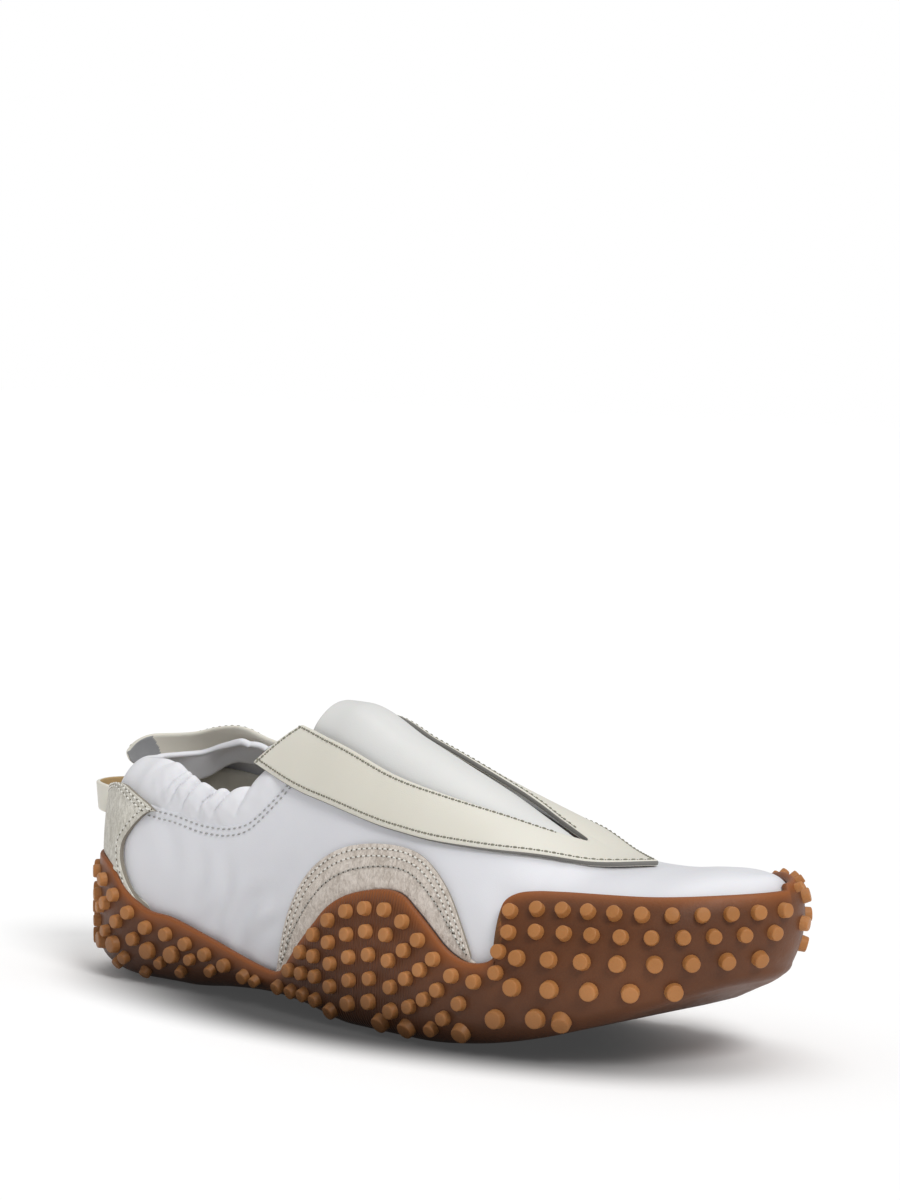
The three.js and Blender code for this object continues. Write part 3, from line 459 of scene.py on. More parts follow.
def grid_piece(name, points, weld=False, outward=None, shade=None):
    """A grid primitive whose vertices are laid on a sheet of points, facing the way outward says."""
    deselect()
    rows, cells = points.shape[0], points.shape[1]
    bpy.ops.mesh.primitive_grid_add(x_subdivisions=cells - 1, y_subdivisions=rows - 1, size=1)
    piece = bpy.context.object
    piece.name = name
    piece.data.name = name
    flat = ((points + ORIGIN) * MM).reshape(-1, 3)
    piece.data.vertices.foreach_set("co", flat.astype(np.float32).ravel())
    piece.data.update()
    if shade is not None:
        layer = piece.data.attributes.new("shade", "FLOAT", "POINT")
        layer.data.foreach_set("value", shade.astype(np.float32).ravel())
    if weld:
        weld_and_orient(piece)
    if outward is not None:
        normals = np.zeros(len(piece.data.polygons) * 3, np.float32)
        piece.data.polygons.foreach_get("normal", normals)
        centres = np.zeros(len(piece.data.polygons) * 3, np.float32)
        piece.data.polygons.foreach_get("center", centres)
        if (normals.reshape(-1, 3) * outward(centres.reshape(-1, 3))).sum() < 0:
            activate(piece)
            bpy.ops.object.mode_set(mode="EDIT")
            bpy.ops.mesh.select_all(action="SELECT")
            bpy.ops.mesh.flip_normals()
            bpy.ops.object.mode_set(mode="OBJECT")
    return piece


HEART = np.array([140.0, 0.0, 35.0])  # a place inside the shoe that its sheets face away from


def away_from_heart(centres):
    away = centres / MM - (HEART + ORIGIN)
    away[:, 0] *= 0.3
    return away


def apply(piece, kind, **settings):
    activate(piece)
    modifier = piece.modifiers.new(kind.lower(), kind)
    for key, value in settings.items():
        setattr(modifier, key, value)
    bpy.ops.object.modifier_apply(modifier=modifier.name)


EDGE_SWELL = 0.4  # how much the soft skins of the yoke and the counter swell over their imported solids


def thicken(piece, thickness, levels=1, edge=0):
    """Gives a sheet its thickness inwards and rounds its edges, which may take a material of their own."""
    apply(piece, "SOLIDIFY", thickness=thickness * MM, offset=-1.0, use_even_offset=False,
          material_offset_rim=edge)
    if levels:
        apply(piece, "SUBSURF", levels=levels, render_levels=levels)


def place_piece(piece, material, nodes=()):
    if material is not None and not piece.data.materials:
        piece.data.materials.append(material)
    activate(piece)
    bpy.ops.object.shade_smooth()
    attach(piece, "root")
    if nodes:
        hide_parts(*nodes)


# Materials

class Shader:
    """Lays out a material's nodes. Scales are per metre of the shoe, bump depths are millimetres."""

    def __init__(self, name, roughness, coat=0.0, coat_roughness=0.3, sheen=0.0, specular=0.5,
                 subsurface=0.0):
        self.material = bpy.data.materials.new(name)
        self.material.use_nodes = True
        self.tree = self.material.node_tree
        self.nodes = self.tree.nodes
        self.shader = self.nodes["Principled BSDF"]
        inputs = self.shader.inputs
        inputs["Roughness"].default_value = roughness
        inputs["Coat Weight"].default_value = coat
        inputs["Coat Roughness"].default_value = coat_roughness
        inputs["Sheen Weight"].default_value = sheen
        inputs["Specular IOR Level"].default_value = specular
        inputs["Subsurface Weight"].default_value = subsurface
        if subsurface:
            inputs["Subsurface Radius"].default_value = (0.004, 0.0018, 0.0008)
            inputs["Subsurface Scale"].default_value = 1.0
        coords = self.nodes.new("ShaderNodeTexCoord")
        self.object = coords.outputs["Object"]
        self.height = None

    def link(self, a, b):
        self.tree.links.new(a, b)

    def mapped(self, scale, rotation=(0, 0, 0)):
        node = self.nodes.new("ShaderNodeMapping")
        node.inputs["Scale"].default_value = scale
        node.inputs["Rotation"].default_value = rotation
        self.link(self.object, node.inputs["Vector"])
        return node.outputs["Vector"]

    def axis(self, name):
        node = self.nodes.new("ShaderNodeSeparateXYZ")
        self.link(self.object, node.inputs["Vector"])
        return node.outputs[name]

    def noise(self, scale, detail=3.0, roughness=0.55, vector=None, distortion=0.0):
        node = self.nodes.new("ShaderNodeTexNoise")
        node.inputs["Scale"].default_value = scale
        node.inputs["Detail"].default_value = detail
        node.inputs["Roughness"].default_value = roughness
        node.inputs["Distortion"].default_value = distortion
        self.link(vector or self.object, node.inputs["Vector"])
        return node.outputs["Fac"]

    def cells(self, scale):
        node = self.nodes.new("ShaderNodeTexVoronoi")
        node.feature = "DISTANCE_TO_EDGE"
        node.inputs["Scale"].default_value = scale
        self.link(self.object, node.inputs["Vector"])
        return node.outputs["Distance"]

    def ramp(self, value, *stops):
        node = self.nodes.new("ShaderNodeValToRGB")
        elements = node.color_ramp.elements
        while len(elements) < len(stops):
            elements.new(0.5)
        for element, (place, colour) in zip(elements, stops):
            element.position = place
            element.color = colour if len(colour) == 4 else (*colour, 1)
        self.link(value, node.inputs["Fac"])
        return node.outputs["Color"]

    def math(self, operation, a, b=None, clamp=False):
        node = self.nodes.new("ShaderNodeMath")
        node.operation = operation
        node.use_clamp = clamp
        for socket, value in zip(node.inputs, (a, b)):
            if value is None:
                continue
            if isinstance(value, (int, float)):
                socket.default_value = value
            else:
                self.link(value, socket)
        return node.outputs["Value"]

    def mix(self, fac, a, b):
        node = self.nodes.new("ShaderNodeMix")
        node.data_type = "RGBA"
        factor, first, second = node.inputs[0], node.inputs[6], node.inputs[7]
        for socket, value in ((factor, fac), (first, a), (second, b)):
            if isinstance(value, (int, float)):
                socket.default_value = value
            elif isinstance(value, tuple):
                socket.default_value = (*value, 1)
            else:
                self.link(value, socket)
        return node.outputs[2]

    def colour(self, value):
        self.link(value, self.shader.inputs["Base Color"])

    def rough(self, value, low, high):
        node = self.nodes.new("ShaderNodeMapRange")
        node.inputs["To Min"].default_value = low
        node.inputs["To Max"].default_value = high
        self.link(value, node.inputs["Value"])
        self.link(node.outputs["Result"], self.shader.inputs["Roughness"])

    def bump(self, value, distance, strength=1.0):
        node = self.nodes.new("ShaderNodeBump")
        node.inputs["Distance"].default_value = distance * MM
        node.inputs["Strength"].default_value = strength
        self.link(value, node.inputs["Height"])
        if self.height is not None:
            self.link(self.height, node.inputs["Normal"])
        self.height = node.outputs["Normal"]
        self.link(self.height, self.shader.inputs["Normal"])


def srgb(code):
    """Linear colour of a six-digit code."""
    parts = [int(code[i:i + 2], 16) / 255 for i in (0, 2, 4)]
    return tuple(p / 12.92 if p <= 0.04045 else ((p + 0.055) / 1.055) ** 2.4 for p in parts)


def smooth_leather(name, light, shade, roughness=0.42, grain=0.10):
    s = Shader(name, roughness, coat=0.12, coat_roughness=0.35, specular=0.45, subsurface=0.04)
    s.colour(s.ramp(s.noise(14, 4), (0.3, srgb(shade)), (0.7, srgb(light))))
    s.rough(s.noise(90, 4), roughness - 0.06, roughness + 0.12)
    s.bump(s.noise(60, 3), 0.25, 0.35)
    s.bump(s.cells(1500), grain, 0.35)
    s.bump(s.noise(2600, 2), 0.05, 0.4)
    return s.material


def napped_suede(name, light, dark, coarse):
    s = Shader(name, 0.95, sheen=0.35, specular=0.2)
    patches = s.noise(120, 5, 0.7, distortion=0.9)
    fibres = s.noise(700, 5, 0.75, vector=s.mapped((1.0, 1.0, 0.5), (0.3, 0.5, 0.0)), distortion=0.5)
    blend = s.math("ADD", s.math("MULTIPLY", patches, 0.38), s.math("MULTIPLY", fibres, 0.62))
    s.colour(s.ramp(blend, (0.41, srgb(dark)), (0.57, srgb(light))))
    s.bump(s.noise(210, 6, 0.75, distortion=1.0), coarse, 0.8)
    s.bump(fibres, 0.9, 1.1)
    s.bump(s.noise(3200, 3), 0.12, 0.8)
    return s.material


RIB_CENTRE = 8.0  # x of the middle of the lateral wave, where fine ribs run up the wall
RIB_REACH = 30.0
PAINTED_SHADE_BELOW = 24.0  # height under which painted shade darkens the rubber towards the ground
AMBER = "9C5A2A"  # the rubber where light comes through its thin lip


def add_ribs(s):
    wave = s.nodes.new("ShaderNodeTexWave")
    wave.wave_type = "BANDS"
    wave.bands_direction = "X"
    wave.inputs["Scale"].default_value = 260.0
    wave.inputs["Distortion"].default_value = 0.0
    s.link(s.mapped((1.0, 0.0, 0.0)), wave.inputs["Vector"])
    across = s.math("ABSOLUTE", s.math("SUBTRACT", s.axis("X"), RIB_CENTRE * MM))
    near = s.math("SUBTRACT", 1.0, s.math("DIVIDE", across, RIB_REACH * MM), clamp=True)
    ribbed = s.math("MULTIPLY", wave.outputs["Fac"], s.math("POWER", near, 0.5))
    s.bump(ribbed, 0.30, 0.8)


def gum_rubber(name, light, dark, roughness, ribs):
    s = Shader(name, roughness, coat=0.04, coat_roughness=0.4, specular=0.30, subsurface=0.10)
    clouds = s.noise(28, 4, 0.6)
    body = s.ramp(clouds, (0.32, srgb(dark)), (0.68, srgb(light)))
    # Painted shade: near the ground the rubber fades to 0.42 of its dark tone at the floor.
    clear_of_painted_shade = s.math("DIVIDE", s.axis("Z"), PAINTED_SHADE_BELOW * MM, clamp=True)
    body = s.mix(clear_of_painted_shade, tuple(0.42 * c for c in srgb(dark)), body)
    thin = s.nodes.new("ShaderNodeAttribute")
    thin.attribute_name = "shade"
    glow = s.math("MULTIPLY", s.math("POWER", thin.outputs["Fac"], 1.6), 0.75)
    s.colour(s.mix(glow, body, srgb(AMBER)))
    s.rough(s.noise(220, 4), roughness - 0.10, roughness + 0.14)
    s.bump(s.noise(300, 5, 0.65), 0.30, 0.6)
    s.bump(s.cells(900), 0.12, 0.5)
    if ribs:
        add_ribs(s)
    return s.material


def plain_finish(name, colour, roughness, scale, depth):
    s = Shader(name, roughness, specular=0.35)
    s.colour(s.ramp(s.noise(scale, 3), (0.3, tuple(0.86 * c for c in srgb(colour))), (0.7, srgb(colour))))
    s.bump(s.noise(scale * 12, 3), depth, 0.6)
    return s.material


white_leather = smooth_leather("white_leather", "E5E5E9", "DCDCE1", 0.42)
collar_leather = smooth_leather("collar_leather", "E8E8EB", "DFDFE4", 0.5, 0.06)
tongue_leather = smooth_leather("tongue_leather", "DEDEDB", "D7D7D5", 0.44)
cream_leather = smooth_leather("cream_leather", "E0DDD2", "D9D5C8", 0.44)
cream_edge = plain_finish("cream_edge", "7F7D79", 0.8, 60, 0.2)
counter_suede = napped_suede("counter_suede", "F3EFE4", "CFCABC", 0.9)
panel_suede = napped_suede("panel_suede", "F1E6DB", "C9BCAF", 0.6)
suede_edge = plain_finish("suede_edge", "8E877B", 0.95, 60, 0.4)
cup_rubber = gum_rubber("cup_rubber", "6F4224", "563119", 0.48, True)
stud_rubber = gum_rubber("stud_rubber", "B97F4C", "A06A38", 0.48, False)
lining_cloth = plain_finish("lining_cloth", "CFCBC2", 0.9, 40, 0.15)
grey_backing = plain_finish("grey_backing", "9C9D9F", 0.7, 40, 0.15)
tan_backing = plain_finish("tan_backing", "B79A6E", 0.8, 40, 0.15)
yoke_thread = plain_finish("yoke_thread", "8B897B", 0.7, 300, 0.05)
white_thread = plain_finish("white_thread", "E9E7E0", 0.6, 300, 0.05)
grey_thread = plain_finish("grey_thread", "A9A9A7", 0.7, 300, 0.05)
# The needle holes are flat dark marks laid on the surface: painted shade of the holes.
stitch_hole = plain_finish("stitch_hole", "6A6357", 0.9, 300, 0.05)


# Outsole

# The cup's lip is kept as places on its skin, all round from the heel along the lateral side and back.
LIP_CELLS = 300
HEEL_LIP_END = 24.0
TOE_LIP_START = 256.0


def lip_side(rows, side):
    line = side_line(rows, 600)
    body = line[(line[:, 0] > HEEL_LIP_END) & (line[:, 0] < TOE_LIP_START)]
    body = even_steps(body, LIP_CELLS)
    around, rise = settle(body, side, side_view, sole_skin, 0.3)
    height = lambda x: np.interp(x, line[:, 0], line[:, 1])
    start, end = (around[0], around[-1]) if side < 0 else (2 - around[0], 2 - around[-1])
    heel = np.linspace(0, start, 26)[:-1]
    toe = np.linspace(end, 1, 30)[1:]
    if side > 0:
        heel, toe = 2 - heel, 2 - toe
    low = lambda places: rise_where(places, sole_skin, height)
    around = np.concatenate([heel, around, toe])
    rise = np.concatenate([low(heel), rise, low(toe)])
    return around, rise


def lip_ring():
    lateral, medial = lip_side(LATERAL_LIP, -1), lip_side(MEDIAL_LIP, 1)
    around = np.concatenate([lateral[0], medial[0][::-1][1:-1]])
    rise = np.concatenate([lateral[1], medial[1][::-1][1:-1]])
    return around, rise


def eased(values, width):
    """A rising ring of places smoothed over some neighbours, with its one turn of 2 kept."""
    count = len(values)
    ramp = 2.0 * np.arange(count) / count
    spare = values - ramp
    kernel = np.hanning(2 * width + 1)
    kernel /= kernel.sum()
    padded = np.concatenate([spare[-width:], spare, spare[:width]])
    return np.convolve(padded, kernel, "valid") + ramp


LIP_AROUND, LIP_RISE = lip_ring()
BASE_AROUND = np.maximum.accumulate(eased(LIP_AROUND, 24))


AMBER_BAND = 5.5  # how far the thin lip lets light through


def across_ring(points):
    """The points of the ring's other side, matched pair by pair from the heel to the toe."""
    return np.roll(points[::-1], 1, axis=0)


def build_cup():
    """The rubber cup as one skin: floor, inner wall, rounded lip, outer wall, edge and underside."""
    wall_rows, round_rows, under_rows, lip_rows = 22, 12, 5, 6
    columns = []
    for t in np.linspace(0, 1, wall_rows):
        blend = smoothstep(t)
        columns.append(sole_skin(LIP_AROUND * (1 - blend) + BASE_AROUND * blend, LIP_RISE * (1 - t)))
    for t in np.linspace(0, 1, round_rows)[1:]:
        columns.append(sole_skin(BASE_AROUND, np.full_like(BASE_AROUND, -t)))
    edge = columns[-1]
    centre = (edge + across_ring(edge)) / 2
    columns += [edge * (1 - t) + centre * t for t in np.linspace(0, 1, under_rows)[1:]]
    outer = columns[0]
    up = unit(columns[0] - columns[1])
    normal = last_normal(LIP_AROUND, np.maximum(LIP_RISE, 0))
    radius = RUBBER_WALL / 2
    lip = [outer - normal * radius * (1 - math.cos(a)) + up * radius * 0.8 * math.sin(a)
           for a in np.linspace(0, math.pi, lip_rows + 1)[1:]]
    inner = [off_last(LIP_AROUND, LIP_RISE * (1 - t), FIT_GAP) for t in (0.05, 0.25, 0.5, 0.75, 1.0)]
    foot = inner[-1]
    foot[:, 2] -= FIT_GAP
    floor = (foot + across_ring(foot)) / 2
    inner += [foot * (1 - t) + floor * t for t in (0.35, 0.7, 1.0)]
    rows = inner[::-1] + lip[::-1] + columns
    sheet = np.stack(rows, 1)
    sheet = np.concatenate([sheet, sheet[:1]], 0)
    below_lip = np.linalg.norm(sheet - sheet[:, len(inner) + len(lip)][:, None], axis=-1)
    piece = grid_piece("outsole_cup", sheet, weld=True, shade=np.clip(1 - below_lip / AMBER_BAND, 0, 1))
    place_piece(piece, cup_rubber, ["outsole"])


STUD_SCAN = 0.4  # step along a row in which the next stud's place is sought
STUD_FOOT = 4.2  # lowest height of a stud above the sole's underside
STUD_SPACE = 1.2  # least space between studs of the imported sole
SMALL_STUD_SPACE = 0.5
STUD_BEVEL = 0.42
STUD_TURN = 2.4  # radians by which each stud is turned on from the one before

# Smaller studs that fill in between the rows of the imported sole
SMALL_STUD_ROWS = table(
    "side begin end drop most pitch big",
    (-1, 0.0, 0.44, 4.4, 60, 8.0, 0.80), (-1, 0.0, 0.44, 9.5, 60, 8.4, 0.85),
    (-1, 0.0, 0.44, 15.5, 60, 8.4, 0.85), (-1, 0.0, 0.30, 22.0, 60, 8.8, 0.90),
    (-1, 0.0, 0.12, 28.0, 60, 8.8, 0.90), (1, 0.84, 1.0, 1.3, 60, 6.4, 0.62),
)


def lip_over(x, side):
    rows = LATERAL_LIP if side < 0 else MEDIAL_LIP
    share = x / LAST_LENGTH
    high = max(1, int(np.argmax(rows["at"] >= share)))
    t = (share - rows["at"][high - 1]) / (rows["at"][high] - rows["at"][high - 1])
    low_z, high_z = rows["height"][high - 1], rows["height"][high]
    return LIP_HEIGHT * (low_z + (high_z - low_z) * min(1, max(0, t)))


def stud_places():
    """Places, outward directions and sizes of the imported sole's studs and of the smaller ones between."""
    placed = []
    rows = {name: np.concatenate([STUD_ROWS[name], SMALL_STUD_ROWS[name]]) for name in STUD_ROWS}
    for k in range(len(rows["side"])):
        side, big, pitch = rows["side"][k], rows["big"][k], rows["pitch"][k]
        xs = np.arange(rows["begin"][k] * LAST_LENGTH, rows["end"][k] * LAST_LENGTH + 1e-9, STUD_SCAN)
        lips = np.array([lip_over(x, side) for x in xs])
        heights = np.minimum(underside(xs) + rows["most"][k], lips - rows["drop"][k])
        arounds = around_at(xs, side)
        rises = rise_where(arounds, sole_skin, lambda x: heights)
        points = sole_skin(arounds, rises)
        step = 0.004
        along = sole_skin(arounds + step, rises) - sole_skin(arounds - step, rises)
        up = sole_skin(arounds, rises + step) - sole_skin(arounds, rises - step)
        outs = unit(np.cross(along, up))
        radius = big * STUD_WIDTH / 2
        previous = None
        for x, height, point, out in zip(xs, heights, points, outs):
            if height < underside(x) + STUD_FOOT:
                continue
            if previous is not None and np.linalg.norm(point - previous) < pitch:
                continue
            space = STUD_SPACE if k < len(STUD_ROWS["side"]) else SMALL_STUD_SPACE
            if any(np.linalg.norm(other[0] - point) < other[2] + radius + space for other in placed):
                continue
            previous = point
            placed.append((point, out, radius, big))
    return placed


def repeat_mesh(name, template, places):
    """One mesh of copies of a template, each moved by its own 4 by 4 matrix."""
    count = len(template.data.vertices)
    base = np.zeros(count * 3)
    template.data.vertices.foreach_get("co", base)
    base = np.hstack([base.reshape(-1, 3), np.ones((count, 1))])
    faces = [tuple(p.vertices) for p in template.data.polygons]
    vertices, polygons = [], []
    for i, matrix in enumerate(places):
        vertices.append((base @ np.asarray(matrix).T)[:, :3])
        polygons += [tuple(v + i * count for v in face) for face in faces]
    mesh = bpy.data.meshes.new(name)
    mesh.from_pydata(np.vstack(vertices).tolist(), [], polygons)
    piece = bpy.data.objects.new(name, mesh)
    bpy.context.scene.collection.objects.link(piece)
    bpy.data.objects.remove(template)
    return piece


def frame_matrix(point, out, along, scale=(1, 1, 1)):
    """Stands a template's Z on out and its X on along, at a point given in millimetres."""
    z = unit(np.asarray(out, float))
    x = unit(np.asarray(along, float) - z * np.dot(along, z))
    y = np.cross(z, x)
    matrix = np.eye(4)
    matrix[:3, 0], matrix[:3, 1], matrix[:3, 2] = x * scale[0], y * scale[1], z * scale[2]
    matrix[:3, 3] = (np.asarray(point) + ORIGIN) * MM
    return matrix


def build_studs():
    deselect()
    length = STUD_HEIGHT + STUD_ROOT
    bpy.ops.mesh.primitive_cone_add(
        vertices=20, radius1=STUD_WIDTH / 2 * MM, radius2=STUD_TOP / 2 * MM, depth=length * MM,
        location=(0, 0, (length / 2 - STUD_ROOT) * MM))
    stud = bpy.context.object
    bpy.ops.object.transform_apply(location=True, rotation=True, scale=True)
    bpy.ops.object.mode_set(mode="EDIT")
    bpy.ops.mesh.select_all(action="DESELECT")
    bpy.ops.object.mode_set(mode="OBJECT")
    for edge in stud.data.edges:
        edge.select = all(stud.data.vertices[v].co.z > (STUD_HEIGHT - 0.1) * MM for v in edge.vertices)
    bpy.ops.object.mode_set(mode="EDIT")
    bpy.ops.mesh.select_mode(type="EDGE")
    bpy.ops.mesh.bevel(offset=STUD_BEVEL * MM, segments=3, affect="EDGES")
    bpy.ops.object.mode_set(mode="OBJECT")
    places = []
    for i, (point, out, _, big) in enumerate(stud_places()):
        turn = [math.cos(STUD_TURN * i), math.sin(STUD_TURN * i), 0.3]
        places.append(frame_matrix(point, out, turn, (big, big, 1)))
    piece = repeat_mesh("outsole_studs", stud, places)
    place_piece(piece, stud_rubber, ["outsole"])
    activate(piece)
    bpy.ops.object.shade_smooth_by_angle(angle=math.radians(50))


# Upper

# Soft folds of the leather, placed on the lateral and medial sides
# at: share of the last. height: share of the lip. lean: degrees from upright. long, wide, deep: sizes.
FOLDS = table(
    "side at height lean long wide deep",
    (-1, 0.300, 0.52, 28, 22, 3.4, 1.1), (-1, 0.262, 0.60, 20, 20, 3.0, 0.8),
    (-1, 0.325, 0.42, 44, 16, 2.6, 0.8), (-1, 0.220, 0.70, 12, 16, 3.2, 0.5),
    (-1, 0.350, 0.75, 30, 18, 4.0, 0.5), (-1, 0.720, 0.82, -32, 16, 3.4, 0.5),
    (-1, 0.800, 1.04, 60, 24, 4.0, 0.4), (-1, 0.170, 0.90, -20, 14, 3.5, 0.5),
    (1, 0.330, 0.60, 25, 22, 3.2, 0.9), (1, 0.280, 0.70, 15, 20, 3.0, 0.7),
    (1, 0.400, 0.62, 40, 18, 3.0, 0.8), (1, 0.850, 1.06, 50, 22, 4.0, 0.4),
    (1, 0.220, 0.80, 5, 18, 3.4, 0.5),
)


def folds_at(points, around):
    """How far the leather stands in or out at points seen from the side."""
    depth = np.zeros(points.shape[:-1])
    for k in range(len(FOLDS["side"])):
        mine = side_of(around) == FOLDS["side"][k]
        lean = math.radians(FOLDS["lean"][k])
        dx = points[..., 0] - FOLDS["at"][k] * LAST_LENGTH
        dz = points[..., 2] - FOLDS["height"][k] * LIP_HEIGHT
        across = dx * math.cos(lean) - dz * math.sin(lean)
        along = dx * math.sin(lean) + dz * math.cos(lean)
        wide = FOLDS["wide"][k]
        bend = across + 0.02 * along**2 * (1 if k % 2 else -1)
        trough = -np.exp(-(bend / wide) ** 2) + 0.45 * np.exp(-((np.abs(bend) - 2.1 * wide) / wide) ** 2)
        fade = np.exp(-(along / (0.62 * FOLDS["long"][k])) ** 4)
        depth += np.where(mine, FOLDS["deep"][k] * trough * fade, 0)
    return depth


def seam_height(x):
    return COLLAR_HEIGHT * collar["seam"](x / LAST_LENGTH)


def throat_lateral_up(x):
    return INSTEP_HEIGHT * np.interp(x / LAST_LENGTH, THROAT_LATERAL["at"], THROAT_LATERAL["up"])


def throat_medial_y(x):
    return BALL_WIDTH / 2 * np.interp(x / LAST_LENGTH, THROAT_MEDIAL["at"], THROAT_MEDIAL["out"])


def covered(points):
    """Whether the upper reaches a place: below the collar's seam and outside the throat."""
    x, y, z = points[..., 0], points[..., 1], points[..., 2]
    over_seam = (x < 0.4 * LAST_LENGTH) & (z > seam_height(x))
    in_length = (x > THROAT_LATERAL["at"][0] * LAST_LENGTH) & (x < THROAT_LATERAL["at"][-1] * LAST_LENGTH)
    above = slope_view(points)[..., 1] > throat_lateral_up(x) - SEAM_LAP
    beside = y < throat_medial_y(x) + SEAM_LAP
    return ~over_seam & ~(in_length & above & beside)


def build_upper():
    """The white shell from the feather line up to the collar's seam and the throat."""
    around = np.concatenate([np.linspace(0, 0.2, 32)[:-1], np.linspace(0.2, 0.8, 84)[:-1],
                             np.linspace(0.8, 1, 36)])
    around = np.concatenate([around, 2 - around[::-1][1:]])
    scan = np.linspace(0.25, 1, 500)
    reach = covered(off_last(around[:, None], scan[None, :], 0.0))
    first = np.where(reach.all(1), len(scan) - 1, np.argmin(reach, 1))
    top = scan[first]
    share = np.linspace(0, 1, 38)
    rise = top[:, None] * share[None, :]
    base = off_last(around[:, None], rise, 0.0)
    ring = np.broadcast_to(around[:, None], rise.shape)
    fade = smoothstep((1 - share) / 0.15)[None, :]
    sheet = off_last(ring, rise, folds_at(base, ring) * fade)
    piece = grid_piece("upper_leather", sheet, weld=True)
    thicken(piece, UPPER_WALL, 1)
    place_piece(piece, white_leather, ["upper"])


# Collar and lining

# x of the valleys between the collar's pleats, at half their height
PLEAT_VALLEYS = np.array([26.0, 37.5, 43.5, 50.0, 57.5, 65.0, 75.0, 96.0])
PLEAT_SIZES = np.array([0.6, 0.9, 1.15, 1.3, 1.15, 1.0, 0.75])
PLEAT_DEPTH = 2.5
PLEAT_MIDDLE = 62.0
PLEAT_FAN = 0.16  # how much closer the folds run at the rim than at the seam
PLEAT_LEAN = 6.0  # how far forward the folds run from the seam up to the rim
GATHER_START = 26.0  # x between which the rim is gathered
GATHER_END = 100.0
HEEL_LEAN = 3.6  # how far the gathered rim draws in behind the heel
MEDIAL_LIFT = 6.0  # how much higher the soft medial rim puffs up
COLLAR_FRONT = 98.0
COLLAR_WALL = 1.8
COLLAR_SUNK = 0.55  # how far the collar lies inside the face of the last
HEM_RADIUS = 0.9
COLLAR_INNER_DROP = 11.0  # how far the gathered leather turns down inside


def heel_ring(front, count):
    """Places round the heel up to x of the front, signed from the heel and as places on the last."""
    half = np.linspace(0, float(around_at(front, -1)), count)
    around = np.concatenate([-half[::-1][:-1], half])
    return around, np.where(around < 0, 2 + around, around)


def pleats(x):
    """Bulge between valleys, 0 in a valley and 1 between two."""
    k = np.clip(np.searchsorted(PLEAT_VALLEYS, x) - 1, 0, len(PLEAT_VALLEYS) - 2)
    t = (x - PLEAT_VALLEYS[k]) / (PLEAT_VALLEYS[k + 1] - PLEAT_VALLEYS[k])
    inside = (t > 0) & (t < 1)
    swell = np.abs(np.sin(math.pi * np.clip(t, 0, 1) ** (0.75 + 0.5 * (k % 3 == 1)))) ** 0.52
    return np.where(inside, PLEAT_SIZES[k] * swell, 0)


def fanned_bulge(x, strength, t):
    """Bulge of the folds at a share t of the way from the seam up to the rim."""
    sway = 0.5 * np.sin(3.1 * t + 0.21 * x) + 0.2 * np.sin(6.3 * t + 0.5 * x)
    fan = PLEAT_MIDDLE + (x - PLEAT_MIDDLE) * (1 + PLEAT_FAN * t) - PLEAT_LEAN * (t - 0.5) + sway
    return pleats(fan) * strength


def rim_line(x, lateral):
    """Heights of the collar's rim over x, puffed up on the medial side."""
    puff = MEDIAL_LIFT * smoothstep((x - 8) / 20) * smoothstep((86 - x) / 20)
    return lambda px: np.where(lateral, COLLAR_HEIGHT * collar["lateral"](px / LAST_LENGTH),
                               COLLAR_HEIGHT * collar["medial"](px / LAST_LENGTH) + puff)


def gathered_rows(around, ring, ease, strength, lean_in, low, high):
    """The collar's outside, row by row from the seam up to the rim."""
    x = station(ring)[0]
    heel_folds = 0.34 * (np.sin(around * 83 + 0.7) + 0.7 * np.sin(around * 139)) * smoothstep((38 - x) / 14)
    rows = []
    for t in np.linspace(0, 1, 26):
        bulge = fanned_bulge(x, strength, t)
        fade = 0.06 + 0.94 * smoothstep((t - 0.02 - 0.16 * np.sin(0.37 * x) ** 2) / 0.62)
        swell = PLEAT_DEPTH * (bulge - 0.45 * ease) * fade
        cross = 0.14 * np.sin(0.9 * x + 5.0 * t) * np.sin(9.0 * t + 0.3 * x) * math.sin(math.pi * t)
        soft = heel_folds * math.sin(math.pi * t) + (1.7 * math.sin(math.pi * t) + cross) * ease
        tight = -0.9 * np.maximum(1 - bulge, 0) * ease * t - lean_in * t**1.5
        rows.append(off_last(ring, low + (high - low) * t, swell + soft + tight - COLLAR_SUNK))
    return rows


def rolled_rows(start, inwards, up, radius, count):
    """Half a turn over an edge, from one face of a wall to the other."""
    return [start + inwards * radius * (1 - math.cos(a)) + up * radius * math.sin(a)
            for a in np.linspace(0, math.pi, count)[1:]]


def turned_down_rows(around, ring, bulge, start, high, drop, inner_off):
    """The leather that turns down inside, from the rolled rim to its hem."""
    rows = []
    for t in np.linspace(0, 1, 12)[1:]:
        ripple = 0.8 * bulge * math.sin(math.pi * t) + 0.5 * np.sin(around * 61) * math.sin(math.pi * t)
        target = off_last(ring, high + (drop - high) * t, inner_off - ripple)
        rows.append(start * (1 - smoothstep(t * 2.0)) + target * smoothstep(t * 2.0))
    return rows


